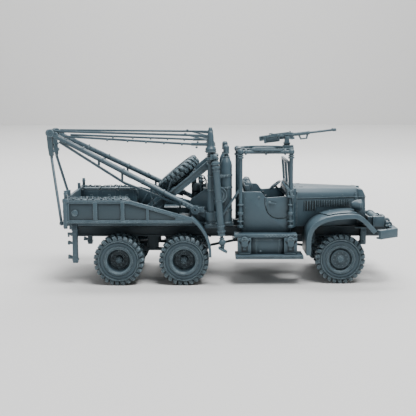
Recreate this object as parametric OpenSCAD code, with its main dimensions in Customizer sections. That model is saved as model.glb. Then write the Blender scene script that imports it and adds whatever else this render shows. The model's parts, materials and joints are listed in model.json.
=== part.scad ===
// Heavy six-wheel-drive tow truck with a twin-boom crane, as a small plastic scale model.
// Front is +X, the left side is +Y, the ground is z = 0. All sizes are in millimetres.

/* [Overall] */
// Front axle to the front face of the bumper
front_reach = 16.2; // [15.6:0.1:22]
// Front axle to the first rear axle
wheelbase = 44.15; // [43.5:0.05:54]
// First rear axle to the second
bogie_gap = 18.3; // [15.2:0.1:20]
// Last axle to the rearmost point of the booms
rear_overhang = 21.75; // [20:0.05:30]

/* [Wheels] */
// Radius of the tyres
tyre_r = 7.05; // [5.8:0.05:7.8]
// Width of one tyre
tyre_w = 3.3; // [2.7:0.05:3.6]
// Radius of the rim opening in the tyre
rim_r = 3.6; // [3:0.1:4.3]
// Outer face of the front wheels from the centre line
front_face_y = 14.4; // [13.8:0.1:15]
// Outer face of the rear wheels from the centre line
rear_face_y = 16.3; // [15.8:0.1:16.5]
// Gap between the two tyres of a twin wheel
twin_gap = 0.3; // [0.2:0.05:0.8]
// Radius of the axle spindles
spindle_r = 0.85; // [0.7:0.05:1.05]
// Running clearance between a pin and its bore
fit = 0.05; // [0.03:0.01:0.08]

/* [Chassis] */
// Underside of the frame rails
rail_z = 12.4; // [11.6:0.1:13]
// Height of the frame rails
rail_h = 3; // [2:0.1:3.6]
// Width of one frame rail
rail_w = 1.2; // [0.8:0.1:1.6]
// Centre line to the middle of a rail
rail_y = 6; // [5:0.1:6.5]
// Half length of the straight bumper face
bumper_y = 13; // [10:0.1:14]
// Thickness of sheet parts
sheet = 0.7; // [0.5:0.05:0.9]

/* [Cab] */
// Half width of the cab and of its running boards' inner edge
cab_y = 11; // [10.2:0.1:11.3]
// Height of the cab sides above the ground
cab_side_z = 25.9; // [24.5:0.1:27.5]
// Half width of the hood at the cab
hood_rear_y = 8; // [7.2:0.1:9]
// Half width of the hood at the radiator
hood_front_y = 5.5; // [4.8:0.1:6.5]
// Height of the hood at the cab
hood_z = 26.5; // [25.5:0.1:28]
// Half width of the whole body over fenders, boards and bed
body_y = 17.2; // [16.9:0.1:18.5]
// Height of the gun ring
ring_z = 37.8; // [35:0.1:42]
// Outer radius of the gun ring
ring_r = 8.15; // [7:0.05:8.6]

/* [Bed] */
// Height of the bed's side rails
bed_top_z = 24.2; // [22.5:0.1:26]
// Height of the deck over the wheels
deck_z = 18.55; // [17.9:0.05:19.2]
// Half width of the sunken floor between the lockers
well_y = 10; // [9.7:0.1:10.2]

/* [Crane] */
// Centre line to each mast post
mast_y = 12.6; // [12.4:0.1:13.2]
// Radius of the mast posts
mast_r = 0.9; // [0.7:0.05:1]
// Height of the top of the mast posts
mast_top_z = 37.6; // [35:0.1:40]
// Height of the pivot eye at the foot of the booms
eye_z = 21; // [20.6:0.1:22.5]
// Height of the boom heads
boom_head_z = 42.2; // [38:0.1:46]
// Centre line to each boom head
boom_head_y = 3.9; // [3.2:0.1:6]
// Depth and width of a boom tube
boom_d = 1.5; // [1.2:0.05:1.6]
// Diameter of the topping lines
line_d = 0.65; // [0.5:0.05:0.8]
// Diameter of the load lines
load_line_d = 0.8; // [0.6:0.05:1]
// Diameter of the outrigger legs
leg_d = 1.9; // [1.5:0.1:2]

/* [Hidden] */
// Stations along the truck
rear_reach = wheelbase + bogie_gap + rear_overhang;
front_x = (rear_reach - front_reach) / 2;
mid_x = front_x - wheelbase;
rear_x = mid_x - bogie_gap;
bumper_x = front_x + front_reach;
tip_x = front_x - rear_reach;
cab_front_x = front_x - 12.2;
cab_rear_x = mid_x + 16.25;
mast_x = mid_x + 7.55;
tail_x = tip_x + 6.8;
bogie_x = (mid_x + rear_x) / 2;
hood_front_x = front_x + 5.9;
// Heights and half widths that follow from the driving sizes
rail_top = rail_z + rail_h;
well_z = rail_top + 1.4;
wheel_z = tyre_r;
bore_r = spindle_r + fit;
rail_in = rail_y - rail_w / 2;
rail_out = rail_y + rail_w / 2;
grey = "slategray";
dark = "#4a5a60";
$fn = 48;

// ---- Helpers ----

// Round bar between two points
module bar(a, b, d) {
  v = b - a;
  translate(a) rotate([0, acos(v[2] / norm(v)), atan2(v[1], v[0])])
    cylinder(h = norm(v), d = d);
}

// Box given by its lowest and highest corners
module block(lo, hi) translate(lo) cube(hi - lo);

// Outline drawn in x and z, as a plate from y0 to y1
module side_plate(y0, y1) translate([0, y1, 0]) rotate([90, 0, 0]) linear_extrude(y1 - y0) children();

// Square bar between two points of a side view, from y0 to y1
module side_bar(a, b, depth, y0, y1) {
  v = b - a;
  side_plate(y0, y1) translate(a) rotate(atan2(v[1], v[0]))
    translate([0, -depth / 2]) square([norm(v), depth]);
}

// Round bar along y
module cross_bar(x, z, d, y0, y1) translate([x, y1, z]) rotate([90, 0, 0]) cylinder(h = y1 - y0, d = d);

// The same thing on both sides
module both_sides() {
  children();
  mirror([0, 1, 0]) children();
}

// Point of a cubic curve
function curve(p, t) =
  pow(1 - t, 3) * p[0] + 3 * t * pow(1 - t, 2) * p[1] + 3 * t * t * (1 - t) * p[2] + pow(t, 3) * p[3];

function curve_points(p, n) = [for (i = [0:n]) curve(p, i / n)];

// A path moved sideways by d
function side_path(p, d) = [
  for (i = [0:len(p) - 1])
    let (v = p[min(i + 1, len(p) - 1)] - p[max(i - 1, 0)])
    p[i] + d * [-v[1], v[0]] / norm(v)
];

// Sheet of thickness t along a path
module strip(p, t) {
  inner = side_path(p, -t);
  polygon(concat(p, [for (i = [len(p) - 1:-1:0]) inner[i]]));
}

// ---- Chassis ----

rail_front_x = bumper_x - 1.8;
rail_rear_x = tail_x + 1.4;
member_x = [rail_rear_x + 1.5, bogie_x, mast_x - 1, cab_rear_x + 1, cab_front_x + 1.5, front_x + 9];
member_w = 1.6;

module frame() color(dark) {
  both_sides() difference() {
    block([rail_rear_x, rail_in, rail_z], [rail_front_x, rail_out, rail_top]);
    // web of the channel
    block([rail_rear_x + 1, rail_out - 0.3, rail_z + 0.5],
      [rail_front_x - 3, rail_out + 1, rail_top - 0.5]);
  }
  for (x = member_x)
    block([x - member_w / 2, -rail_in, rail_z + 0.4], [x + member_w / 2, rail_in, rail_top - 0.6]);
  // arms under the cab steps
  for (x = [cab_rear_x + 0.7, cab_front_x - 1.6]) both_sides()
    block([x - 0.5, rail_out, rail_z + 0.1], [x + 0.5, well_y, rail_z + 1.1]);
  // bogie trunnion brackets
  both_sides() block([bogie_x - 1.6, rail_in, spring_top + 0.75 * spring_rise],
    [bogie_x + 1.6, rail_out, rail_z]);
}

bumper_bottom_z = 13.2;
bumper_top_z = 15.7;
bumper_flange = 1;
bumper_sweep = 5.6;

// Plan of the bumper, t deep
module bumper_plan(t) strip([
  [bumper_x - bumper_sweep, body_y - 0.2], [bumper_x, bumper_y],
  [bumper_x, -bumper_y], [bumper_x - bumper_sweep, 0.2 - body_y]
], t);

module front_bumper() color(grey) {
  translate([0, 0, bumper_bottom_z]) linear_extrude(bumper_top_z - bumper_bottom_z) bumper_plan(0.8);
  for (z = [bumper_bottom_z, bumper_top_z - 0.5])
    translate([0, 0, z]) linear_extrude(0.5) bumper_plan(0.8 + bumper_flange);
}

winch_x0 = front_x + 8.9;
winch_side_y = 5.6;
winch_drum_x = bumper_x - 4.5;
winch_drum_z = rail_top + 1.55;

module front_winch() color(grey) difference() {
  union() {
    both_sides() side_plate(winch_side_y, winch_side_y + 1)
      polygon([
        [winch_x0, rail_top], [winch_x0, rail_top + 2.6], [bumper_x - 3.4, rail_top + 2.6],
        [rail_front_x, bumper_top_z + 0.9], [rail_front_x, rail_top]
      ]);
    // gear housing on the right end
    block([winch_drum_x - 1.6, -winch_side_y - 2.6, rail_top],
      [winch_drum_x + 1.6, -winch_side_y - 1, rail_top + 2.9]);
    cross_bar(winch_x0 + 0.6, rail_top + 2.1, 0.8, -winch_side_y, winch_side_y);
  }
  cross_bar(winch_drum_x, winch_drum_z, 0.9 + 2 * fit, -winch_side_y - 1.8, winch_side_y + 2);
}

module winch_drum() color(dark) {
  cross_bar(winch_drum_x, winch_drum_z, 0.9, -winch_side_y - 1.6, winch_side_y + 1.4);
  cross_bar(winch_drum_x, winch_drum_z, 2, 0.1 - winch_side_y, winch_side_y - 0.1);
  for (y = [0.1 - winch_side_y, winch_side_y - 0.6])
    cross_bar(winch_drum_x, winch_drum_z, 2.8, y, y + 0.5);
}

// ---- Front end ----

radiator_y = hood_front_y - 0.3;
radiator_front_x = front_x + 8.4;

module radiator_shell() color(grey) difference() {
  side_plate(-radiator_y, radiator_y) polygon([
    [hood_front_x, rail_top], [hood_front_x, hood_z - 0.5], [radiator_front_x - 1, hood_z - 0.7],
    [radiator_front_x - 0.2, hood_z - 2.3], [radiator_front_x, rail_top + 4], [radiator_front_x, rail_top]
  ]);
  // recess of the grille
  block([radiator_front_x - 0.5, 0.8 - radiator_y, rail_top + 3],
    [radiator_front_x + 1, radiator_y - 0.8, hood_z - 3]);
}

hood_bottom_z = rail_top + 0.05;
hood_round = 2.2;

module hood_form(inset) {
  module section(x, half_w, top_z) both_sides() {
    translate([x, half_w - inset - hood_round, top_z - inset - hood_round]) rotate([0, 90, 0])
      cylinder(h = 0.01, r = hood_round, $fn = 32);
    block([x, 0, hood_bottom_z - (inset > 0 ? 1 : 0)], [x + 0.01, half_w - inset, hood_bottom_z + 1]);
  }
  overrun = inset > 0 ? 1 : 0;
  hull() {
    section(cab_front_x - overrun, hood_rear_y, hood_z);
    section(hood_front_x - 0.01 + overrun, hood_front_y, hood_z - 0.45);
  }
}

module hood() color(grey) difference() {
  hood_form(0);
  hood_form(0.8);
}

module engine() color(dark) {
  // gearbox behind the block
  block([cab_front_x - 5.5, -1.8, rail_z - 2.6], [cab_front_x + 4, 1.8, rail_z + 0.3]);
  block([cab_front_x + 2.6, -3.2, rail_z + 0.2], [hood_front_x - 3, 3.2, rail_top + 7]);
  for (x = [cab_front_x + 5, hood_front_x - 6])
    block([x - 0.6, -rail_in, rail_z + 1], [x + 0.6, rail_in, rail_z + 2]);
}

// Upper line of the front fenders, from the running board to the tip
fender_back_x = front_x - 10;
fender_line = concat(
  [[fender_back_x, 8.7]],
  curve_points([[fender_back_x, 12.6], [fender_back_x + 0.1, 16.6], [front_x - 7.8, 18.4],
    [front_x - 4.6, 19.4]], 8),
  curve_points([[front_x - 3, 19.8], [front_x - 1.6, 20.1], [front_x + 1.6, 20.4],
    [front_x + 3.5, 20.3]], 4),
  curve_points([[front_x + 4.6, 20], [front_x + 6.6, 19.1], [front_x + 8, 17.2], [front_x + 9.5, 15.6]], 6)
);
fender_lip = 0.6;

module front_fenders() color(grey) both_sides() {
  difference() {
    side_plate(hood_front_y, body_y - 0.2) strip(fender_line, sheet);
    // the sides of the hood, the rails and the front winch
    hood_form(-0.04);
    block([cab_front_x, 0, 0], [bumper_x, rail_out + 0.05, rail_top + 0.03]);
    block([winch_x0 - 0.05, 0, 0], [bumper_x, winch_side_y + 2.7, 30]);
    block([cab_front_x, 0, 0], [hood_front_x + 2, hood_front_y + 0.1, 30]);
  }
  // turned-down outer edge
  side_plate(body_y - 0.2 - fender_lip, body_y - 0.2) strip(fender_line, sheet + 0.6);
}

lamp_x = front_x + 4.4;
lamp_y = 12;
lamp_z = 22.2;
lamp_r = 1.55;

module headlamps() color(grey) both_sides() {
  translate([lamp_x - 1.4, lamp_y, lamp_z]) rotate([0, 90, 0]) rotate_extrude()
    polygon([[0, 0], [0.8, 0.05], [lamp_r - 0.2, 1], [lamp_r, 1.6], [lamp_r, 2.6], [lamp_r - 0.3, 2.8],
      [0, 2.8]]);
  // stalk that stands on the fender
  translate([lamp_x, lamp_y, 20.26]) cylinder(h = lamp_z - 20.26 - 1, r = 0.5);
}

// ---- Cab ----

cab_wall = 0.8;
cab_bottom_z = rail_top - 1.2;
cowl_z = hood_z + 0.4;
cab_floor_z = rail_top + 0.7;
dash_x = cab_front_x - 2.9;
dash_z = cab_side_z - 1.6;
door_x0 = cab_rear_x + 6.9;

module cab_body() color(grey) difference() {
  intersection() {
    side_plate(-cab_y, cab_y) polygon(concat(
      [[cab_rear_x, cab_bottom_z], [cab_rear_x, cab_side_z], [cab_rear_x + 4.6, cab_side_z]],
      curve_points([[cab_rear_x + 5.2, cab_side_z], [cab_rear_x + 6.4, cab_side_z - 0.2],
        [cab_rear_x + 6.3, cab_side_z - 1.7], [door_x0 + 0.4, cab_side_z - 1.75]], 5),
      [[dash_x, cab_side_z - 1.3], [dash_x + 0.5, cowl_z], [cab_front_x, hood_z],
        [cab_front_x, cab_bottom_z]]
    ));
    translate([0, 0, cab_bottom_z]) linear_extrude(20) polygon([
      [cab_rear_x, -cab_y], [cab_front_x - 2.2, -cab_y], [cab_front_x, -hood_rear_y - 0.6],
      [cab_front_x, hood_rear_y + 0.6], [cab_front_x - 2.2, cab_y], [cab_rear_x, cab_y]
    ]);
  }
  // the inside, open at the top
  side_plate(cab_wall - cab_y, cab_y - cab_wall) polygon([
    [cab_rear_x + cab_wall, cab_floor_z], [cab_rear_x + cab_wall, 40], [dash_x, 40], [dash_x, dash_z],
    [cab_front_x - 0.9, dash_z], [cab_front_x - 0.9, cab_floor_z]
  ]);
  // the space under the floor, over the frame
  block([cab_rear_x - 1, cab_wall - cab_y, 0], [cab_front_x + 1, cab_y - cab_wall, rail_top]);
  // gap around each door
  both_sides() difference() {
    side_plate(cab_y - 0.15, cab_y + 1) door_outline(0.12);
    side_plate(cab_y - 1, cab_y + 1) door_outline(-0.12);
  }
}

module door_outline(grow) translate([door_x0 + 3.6, cab_side_z - 4]) {
  circle(r = 3.6 + grow);
  translate([0, -3.6 - grow]) square([cab_front_x - 2.5 - door_x0 - 3.6 + grow, 8]);
  translate([-3.6 - grow, 0]) square([8, 4]);
}

frame_half = 9.5;
frame_foot_x = cab_front_x - 1.8;
frame_head_x = frame_foot_x - 0.6;
frame_head_z = 34.4;

module windshield_frame() color(grey) {
  foot = [frame_foot_x, cowl_z + 0.03];
  head = [frame_head_x, frame_head_z];
  for (y = [-frame_half, -0.35, frame_half - 0.7]) side_bar(foot, head, sheet, y, y + 0.7);
  side_bar(foot, foot + (head - foot) * 0.09, sheet, -frame_half, frame_half);
  side_bar(head + (foot - head) * 0.1, head, sheet, -frame_half, frame_half);
}

seat_x = cab_rear_x + 1.2;
seat_y = 5.2;
seat_w = 8;

module seats() color(dark) both_sides() {
  block([seat_x + 1.6, seat_y - seat_w / 2, cab_floor_z],
    [seat_x + 7.6, seat_y + seat_w / 2, cab_floor_z + 4.4]);
  side_bar([seat_x + 1.5, cab_floor_z + 0.1],
    [seat_x + 0.4, cab_side_z + 1.6], 1.2, seat_y - seat_w / 2, seat_y + seat_w / 2);
  // bed roll over the backrest
  cross_bar(seat_x + 1, cab_side_z + 1.3, 2, seat_y - seat_w / 2 + 0.4, seat_y + seat_w / 2 - 0.4);
}

wheel_hub = [dash_x - 2, seat_y + 0.6, cab_side_z];
steer_r = 2.2;
steer_tilt = 38;
column = (cab_front_x - 0.9 - wheel_hub[0]) / sin(steer_tilt) - 0.4;

module steering_wheel() color(dark) {
  translate(wheel_hub) rotate([0, -steer_tilt, 0]) {
    rotate_extrude() translate([steer_r - 0.25, 0]) circle(d = 0.5, $fn = 24);
    cylinder(h = 0.5, r = 0.6, center = true);
    for (a = [0:120:240]) rotate(a) translate([0, -0.15, -0.15]) cube([steer_r - 0.25, 0.3, 0.3]);
    // column down to the toe board
    translate([0, 0, -column]) cylinder(h = column, r = 0.35);
  }
}

// ---- Gun ring ----

post_d = 1.1;
post_y = cab_y + post_d / 2 + 0.02;
post_rear_x = cab_rear_x - 0.3;
post_front_x = cab_front_x - 1.8;
far_post_x = cab_rear_x - 0.8;
ring_y = -5;
ring_x = (post_rear_x + post_front_x) / 2 + 0.3;
ring_tube = 0.8;
ring_rail_z = ring_z - 0.6;
ring_far_y = ring_y + 7;
pintle_x = post_front_x - 0.7;
pintle_r = 0.45;

module ring_mount() color(grey) difference() {
  union() {
    for (x = [post_rear_x, post_front_x]) {
      bar([x, -post_y, cab_bottom_z + 1.4], [x, -post_y, ring_rail_z], post_d);
      translate([x, -post_y, ring_rail_z]) sphere(r = 0.9);
      // clamps on the cab side
      for (z = [cab_bottom_z + 1.9, cab_bottom_z + 5.6]) {
        translate([x, -post_y, z]) cylinder(h = 0.8, r = 0.85, center = true);
      }
    }
    bar([far_post_x, ring_far_y, rail_top + 0.8], [far_post_x, ring_far_y, ring_rail_z], post_d);
    block([far_post_x, ring_far_y - 0.5, rail_top + 4], [cab_rear_x, ring_far_y + 0.5, rail_top + 5]);
    translate([far_post_x, ring_far_y, ring_rail_z]) sphere(r = 0.9);
    // frame of tubes that carries the ring
    bar([post_rear_x, -post_y, ring_rail_z], [post_front_x, -post_y, ring_rail_z], post_d);
    bar([far_post_x, ring_far_y, ring_rail_z], [post_front_x, ring_far_y, ring_rail_z], post_d);
    bar([post_rear_x, -post_y, ring_rail_z], [far_post_x, ring_far_y, ring_rail_z], post_d);
    bar([post_front_x, -post_y, ring_rail_z], [post_front_x, ring_far_y, ring_rail_z], post_d);
    translate([post_front_x, ring_far_y, ring_rail_z]) sphere(r = 0.7);
    translate([ring_x, ring_y, ring_z]) rotate_extrude() translate([ring_r - ring_tube / 2, 0])
      square([ring_tube, 0.6], center = true);
    // carriage of the gun
    block([pintle_x - 1.1, ring_y - 1.3, ring_z - 0.3],
      [ring_x + ring_r - 0.2, ring_y + 1.3, ring_z + 0.9]);
    // stay from the rear post down to the bed
    bar([post_rear_x - 0.3, -post_y, ring_rail_z - 10.6], [mast_x + 1.8, -post_y, well_z + 0.25], 0.7);
  }
  // bore of the pintle
  translate([pintle_x, ring_y, ring_z - 1]) cylinder(h = 3, r = pintle_r + fit);
  // clearance to the cab side
  block([cab_rear_x, -cab_y, 0], [cab_front_x, 0, cab_side_z + 2]);
}

trunnion_z = ring_z + 2.9;
trunnion_r = 0.3;
cradle_y = 0.75;

module gun_cradle() color(grey) difference() {
  union() {
    translate([pintle_x, ring_y, ring_z - 0.2]) cylinder(h = 2, r = pintle_r);
    translate([pintle_x, ring_y, ring_z + 0.95]) cylinder(h = 0.6, r = 0.9);
    block([pintle_x - 0.7, ring_y - cradle_y - 0.45, ring_z + 1.5],
      [pintle_x + 0.7, ring_y + cradle_y + 0.45, ring_z + 2]);
    for (s = [-1, 1]) translate([0, s * (cradle_y + 0.225), 0])
      block([pintle_x - 0.6, ring_y - 0.225, ring_z + 1.5],
        [pintle_x + 0.6, ring_y + 0.225, trunnion_z + 0.6]);
  }
  cross_bar(pintle_x, trunnion_z, 2 * (trunnion_r + fit), ring_y - 3, ring_y + 3);
}

gun_pitch = 6.6;
gun_rear = 7.9;
gun_length = 22.2;
gun_half = 0.6;

module gun() color(dark) translate([pintle_x, ring_y, trunnion_z]) {
  cross_bar(0, 0, 2 * trunnion_r, -cradle_y - 0.4, cradle_y + 0.4);
  rotate([0, -gun_pitch, 0]) {
    // receiver, jacket, barrel and muzzle
    block([-gun_rear + 1.4, -gun_half, -0.1], [1.8, gun_half, 1.5]);
    block([-0.5, -0.4, -0.4], [0.5, 0.4, 0]);
    block([-gun_rear, -0.5, 0.3], [-gun_rear + 1.4, 0.5, 1.2]);
    translate([1.8, 0, 0.8]) rotate([0, 90, 0]) cylinder(h = 4.6, r = 0.5);
    translate([6.4, 0, 0.8]) rotate([0, 90, 0]) cylinder(h = gun_length - gun_rear - 7.4, r = 0.32);
    translate([gun_length - gun_rear - 1, 0, 0.8]) rotate([0, 90, 0]) cylinder(h = 1, r = 0.45);
    // carrying handle under the jacket
    side_plate(-0.2, 0.2) difference() {
      polygon([[3.2, 0.7], [3.8, -0.9], [5.8, -0.9], [6.4, 0.7]]);
      polygon([[3.9, 0.3], [4.15, -0.5], [5.45, -0.5], [5.7, 0.3]]);
    }
  }
}

// ---- Running boards ----

step_x0 = cab_rear_x - 2.1;
step_top_z = cab_bottom_z + 0.15;
step_y = cab_y + 4;
board_z = 7.7;
board_t = 1;
board_x1 = fender_back_x - sheet - 0.05;

module running_boards() color(grey) both_sides() {
  difference() {
    block([step_x0, well_y, step_top_z - 0.85], [cab_front_x - 0.2, step_y, step_top_z]);
    // seat of the cab sill
    block([cab_rear_x - 0.05, 0, cab_bottom_z - 0.02], [cab_front_x + 1, cab_y + 0.05, 30]);
  }
  block([step_x0 + 0.3, well_y, board_z], [board_x1, body_y - 0.2, board_z + board_t]);
}

box_w = 3.7;
box_x = [step_x0 + 1, cab_front_x - 0.2 - box_w];
box_top_z = step_top_z - 0.9;

module step_boxes() color(grey) both_sides() for (x = box_x) {
  block([x, well_y, board_z + board_t + 0.02], [x + box_w, step_y + 0.3, box_top_z]);
  translate([x + box_w / 2, 0, board_z + board_t + 3]) cross_bar(0, 0, 1.8, step_y + 0.3, step_y + 0.7);
}

module fuel_tanks() color(dark) both_sides()
  block([box_x[0] + box_w + 0.1, well_y, board_z + board_t + 0.02],
    [box_x[1] - 0.1, step_y - 0.8, box_top_z]);

// ---- Bed ----

bed_x0 = tail_x + 0.8;
bed_front_x = mast_x + 6.5;
deck_t = 0.6;
deck_front_x = mast_x - 4.8;
panel_y = body_y - 0.8;
slope_x = tail_x + 18.7;

module bed_floor() color(dark) {
  block([bed_x0, -well_y, well_z - 0.8], [bed_front_x, well_y, well_z]);
  both_sides() {
    // sleeper on the frame rail
    block([bed_x0, rail_in, rail_top], [bed_front_x, rail_out, well_z - 0.8]);
    block([bed_x0, well_y - deck_t, well_z], [deck_front_x, well_y, deck_z - deck_t]);
    block([bed_x0, well_y - deck_t, deck_z - deck_t], [deck_front_x, panel_y, deck_z]);
    // shelf under the mast posts
    block([mast_x - 1.7, well_y, well_z - 0.8], [mast_x + 2.2, mast_y + 1.7, well_z]);
  }
}

mudguard_line = curve_points([
  [deck_front_x - 0.4, deck_z + 0.9], [deck_front_x + 2.8, deck_z - 1.7],
  [mast_x + 0.3, deck_z - 5], [mast_x + 0.2, 8.3]
], 8);
rib_x = [tail_x + 9, tail_x + 16.6, tail_x + 23.3];

module bed_side() {
  top = [[bed_x0, bed_top_z], [slope_x, bed_top_z], [deck_front_x - 0.4, deck_z + 0.9]];
  bottom = [[deck_front_x - 0.4, deck_z - 0.6], [bed_x0, deck_z - 0.6]];
  difference() {
    side_plate(panel_y, body_y) polygon(concat(top, bottom));
    // recessed panels between the rails
    side_plate(body_y - 0.35, body_y + 1) polygon([
      [bed_x0 + 0.9, deck_z + 0.3], [bed_x0 + 0.9, bed_top_z - 0.8], [slope_x - 0.1, bed_top_z - 0.8],
      [deck_front_x - 5, deck_z + 0.9], [deck_front_x - 5, deck_z + 0.3]
    ]);
  }
  // ribs
  intersection() {
    for (x = rib_x) block([x - 0.35, body_y - 0.36, deck_z - 0.6], [x + 0.35, body_y, bed_top_z]);
    side_plate(panel_y, body_y) polygon(concat(top, bottom));
  }
  // boss by the rear corner
  cross_bar(tail_x + 3.3, deck_z + 2.4, 1.6, body_y - 0.36, body_y);
  side_plate(well_y + 0.02, body_y) strip(mudguard_line, sheet);
}

mudguard_cut = 0.05;

module bed_side_cuts() {
  block([bed_x0 - 1, 0, well_z - 0.8 - mudguard_cut],
    [deck_front_x + mudguard_cut, panel_y - 0.001, deck_z]);
  block([mast_x - 1.7 - mudguard_cut, 0, 0], [mast_x + 3, mast_y + 1.7 + mudguard_cut, 30]);
}

module bed_side_left() color(grey) difference() { bed_side(); bed_side_cuts(); }
module bed_side_right() color(grey) mirror([0, 1, 0]) difference() { bed_side(); bed_side_cuts(); }

lug_y = 9;

module tailboard() color(grey) {
  block([tail_x, -body_y, deck_z - 0.6], [bed_x0, body_y, bed_top_z + 0.4]);
  both_sides() {
    block([tail_x, body_y - 2, deck_z - 1.9], [bed_x0, body_y, deck_z - 0.6]);
    block([tail_x, lug_y - 0.6, bed_top_z + 0.4], [bed_x0, lug_y + 0.6, bed_top_z + 2.1]);
  }
  block([tail_x, -well_y, well_z - 0.8], [bed_x0, well_y, deck_z - 0.6]);
}

locker_x1 = slope_x - 0.8;

module tool_lockers() color(dark) both_sides() difference() {
  block([bed_x0 + 0.02, well_y + 0.4, deck_z], [locker_x1, panel_y - 0.02, bed_top_z - 0.2]);
  // joints between the lids
  for (i = [1:2]) translate([bed_x0 + i * (locker_x1 - bed_x0) / 3, 0, 0])
    block([-0.15, 0, bed_top_z - 0.5], [0.15, body_y, bed_top_z]);
}

tow_post_x = tail_x + 2;
tow_post_y = body_y - 3.8;

module tow_posts() color(grey) both_sides() {
  block([tow_post_x, tow_post_y, 6.3], [tow_post_x + 1.4, tow_post_y + 1.6, deck_z - deck_t]);
  // steps and hooks that point rearward
  for (z = [7.4, 11.6, 14.3]) block([tow_post_x - 1.4, tow_post_y + 0.4, z],
    [tow_post_x, tow_post_y + 1.2, z + 0.6]);
}

tow_eye_r = 0.5;
tow_eye_x = rail_rear_x - 1.8;
tow_eye_z = rail_z + 1.5;

module pintle_hook() color(dark) difference() {
  union() {
    block([rail_rear_x - 0.6, -rail_out, rail_z + 0.2], [rail_rear_x, rail_out, rail_top - 0.1]);
    block([tow_eye_x, -1, tow_eye_z - 0.5], [rail_rear_x - 0.6, 1, tow_eye_z + 0.5]);
    translate([tow_eye_x, 0, tow_eye_z]) cylinder(h = 1, r = 1, center = true);
  }
  translate([tow_eye_x, 0, tow_eye_z]) cylinder(h = 2, r = tow_eye_r, center = true);
}

// ---- Axles and drive ----

axle_r = 0.8;
diff_y = 2;
diff_r = 2.3;
front_in_y = front_face_y - tyre_w;
rear_in_y = rear_face_y - 2 * tyre_w - twin_gap;
front_hub = 0.9;
rear_hub = 1.6;
hub_wall = 0.7;
end_play = 0.1;

// Axle with its spindles: tube to tube_y, spindles to spindle_y, and a drum for its gears
module axle(x, tube_y, spindle_y) {
  cross_bar(x, wheel_z, 2 * axle_r, -tube_y, tube_y);
  for (y = [-spindle_y, tube_y - 0.2]) cross_bar(x, wheel_z, 2 * spindle_r, y,
    y + spindle_y - tube_y + 0.2);
  cross_bar(x, wheel_z, 2 * diff_r, diff_y - 1.3, diff_y + 1.3);
  cross_bar(x, wheel_z, 1.5 * diff_r, diff_y - 2, diff_y + 2);
  block([x - diff_r - 1.1, diff_y - 0.7, wheel_z - 0.8], [x + diff_r + 1.1, diff_y + 0.7, wheel_z + 0.8]);
}

module front_axle() color(dark) {
  axle(front_x, front_in_y - 0.2, front_face_y - front_hub - hub_wall - end_play);
  // knuckles
  both_sides() {
    cross_bar(front_x, wheel_z, 2.2, front_in_y - 2.2, front_in_y - 0.4);
    translate([front_x, front_in_y - 1.3, wheel_z]) cylinder(h = 3.4, r = 0.6, center = true);
  }
  // track rod
  cross_bar(front_x - 1.9, wheel_z - 1.2, 0.6, 1.3 - front_in_y, front_in_y - 1.3);
  both_sides() bar([front_x - 1.9, front_in_y - 1.3, wheel_z - 1.2],
    [front_x, front_in_y - 1.3, wheel_z - 1.2], 0.6);
}

module twin_axle(x) color(dark) axle(x, rear_in_y - 0.2, rear_face_y - rear_hub - hub_wall - end_play);
module middle_axle() twin_axle(mid_x);
module rear_axle() twin_axle(rear_x);

spring_t = 0.8;
spring_y = rail_out + 0.8;
spring_top = wheel_z + axle_r + spring_t + 0.05;
spring_rise = 0.5;
spring_half = 7;
hanger_z = 10.9;

module leaf_springs() color(dark) both_sides() {
  // front springs hang from the rails
  front_end = hanger_z + 0.7;
  front_mid = (spring_top - 0.25 * front_end) / 0.75;
  side_plate(spring_y - 0.6, spring_y + 0.6) strip(curve_points([
    [front_x - spring_half, front_end], [front_x - spring_half / 3, front_mid],
    [front_x + spring_half / 3, front_mid], [front_x + spring_half, front_end]
  ], 8), spring_t);
  for (x = [front_x - spring_half, front_x + spring_half])
    block([x - 0.5, rail_out, hanger_z], [x + 0.5, spring_y + 0.7, rail_top - 0.2]);
  // bogie springs rest on both rear axles
  side_plate(rail_in, rail_out) strip(curve_points([
    [rear_x, spring_top], [rear_x + bogie_gap / 3, spring_top + spring_rise],
    [mid_x - bogie_gap / 3, spring_top + spring_rise], [mid_x, spring_top]
  ], 8), spring_t);
}

transfer_x = cab_rear_x + 3;
shaft_z = wheel_z + 2.9;

module transfer_case() color(dark) {
  block([transfer_x - 3, diff_y - 2.6, wheel_z + 1.4], [transfer_x + 3, diff_y + 2, rail_z + 0.35]);
  cross_bar(transfer_x + 1.6, rail_z + 0.6, 0.9, -rail_in, rail_in);
}

module drive_shafts() color(dark) {
  out = diff_r + 1.15;
  bar([cab_front_x - 5.55, diff_y - 1, shaft_z + 1.1], [transfer_x + 3.05, diff_y - 1, shaft_z + 1.1], 0.8);
  bar([transfer_x + 3.05, diff_y, shaft_z], [front_x - out, diff_y, wheel_z + 0.3], 0.8);
  bar([transfer_x - 3.05, diff_y, shaft_z], [mid_x + out, diff_y, wheel_z + 0.3], 0.8);
  bar([mid_x - out, diff_y, wheel_z], [rear_x + out, diff_y, wheel_z], 0.8);
}

// ---- Wheels ----

// One tyre about z, its outer face at z = 0
module tyre() rotate_extrude() polygon([
  [rim_r - 0.4, -0.35], [rim_r, -0.2], [rim_r + 0.25, 0], [tyre_r - 1.2, 0], [tyre_r - 0.35, -0.35],
  [tyre_r, -0.9], [tyre_r, 0.9 - tyre_w], [tyre_r - 0.35, 0.35 - tyre_w], [tyre_r - 1.2, -tyre_w],
  [rim_r + 0.25, -tyre_w], [rim_r, 0.2 - tyre_w], [rim_r - 0.4, 0.35 - tyre_w]
]);

module disc(r, z0, z1) translate([0, 0, z0]) cylinder(h = z1 - z0, r = r);

// Single wheel with a raised disc, its outer face at z = 0
module single_wheel() difference() {
  union() {
    tyre();
    disc(rim_r, -1.5, -0.75);
    disc(2.1, 0.6 - tyre_w, -0.45);
    disc(1.2, -1, -0.2);
  }
  disc(bore_r, -tyre_w, -front_hub - hub_wall);
}

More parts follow.
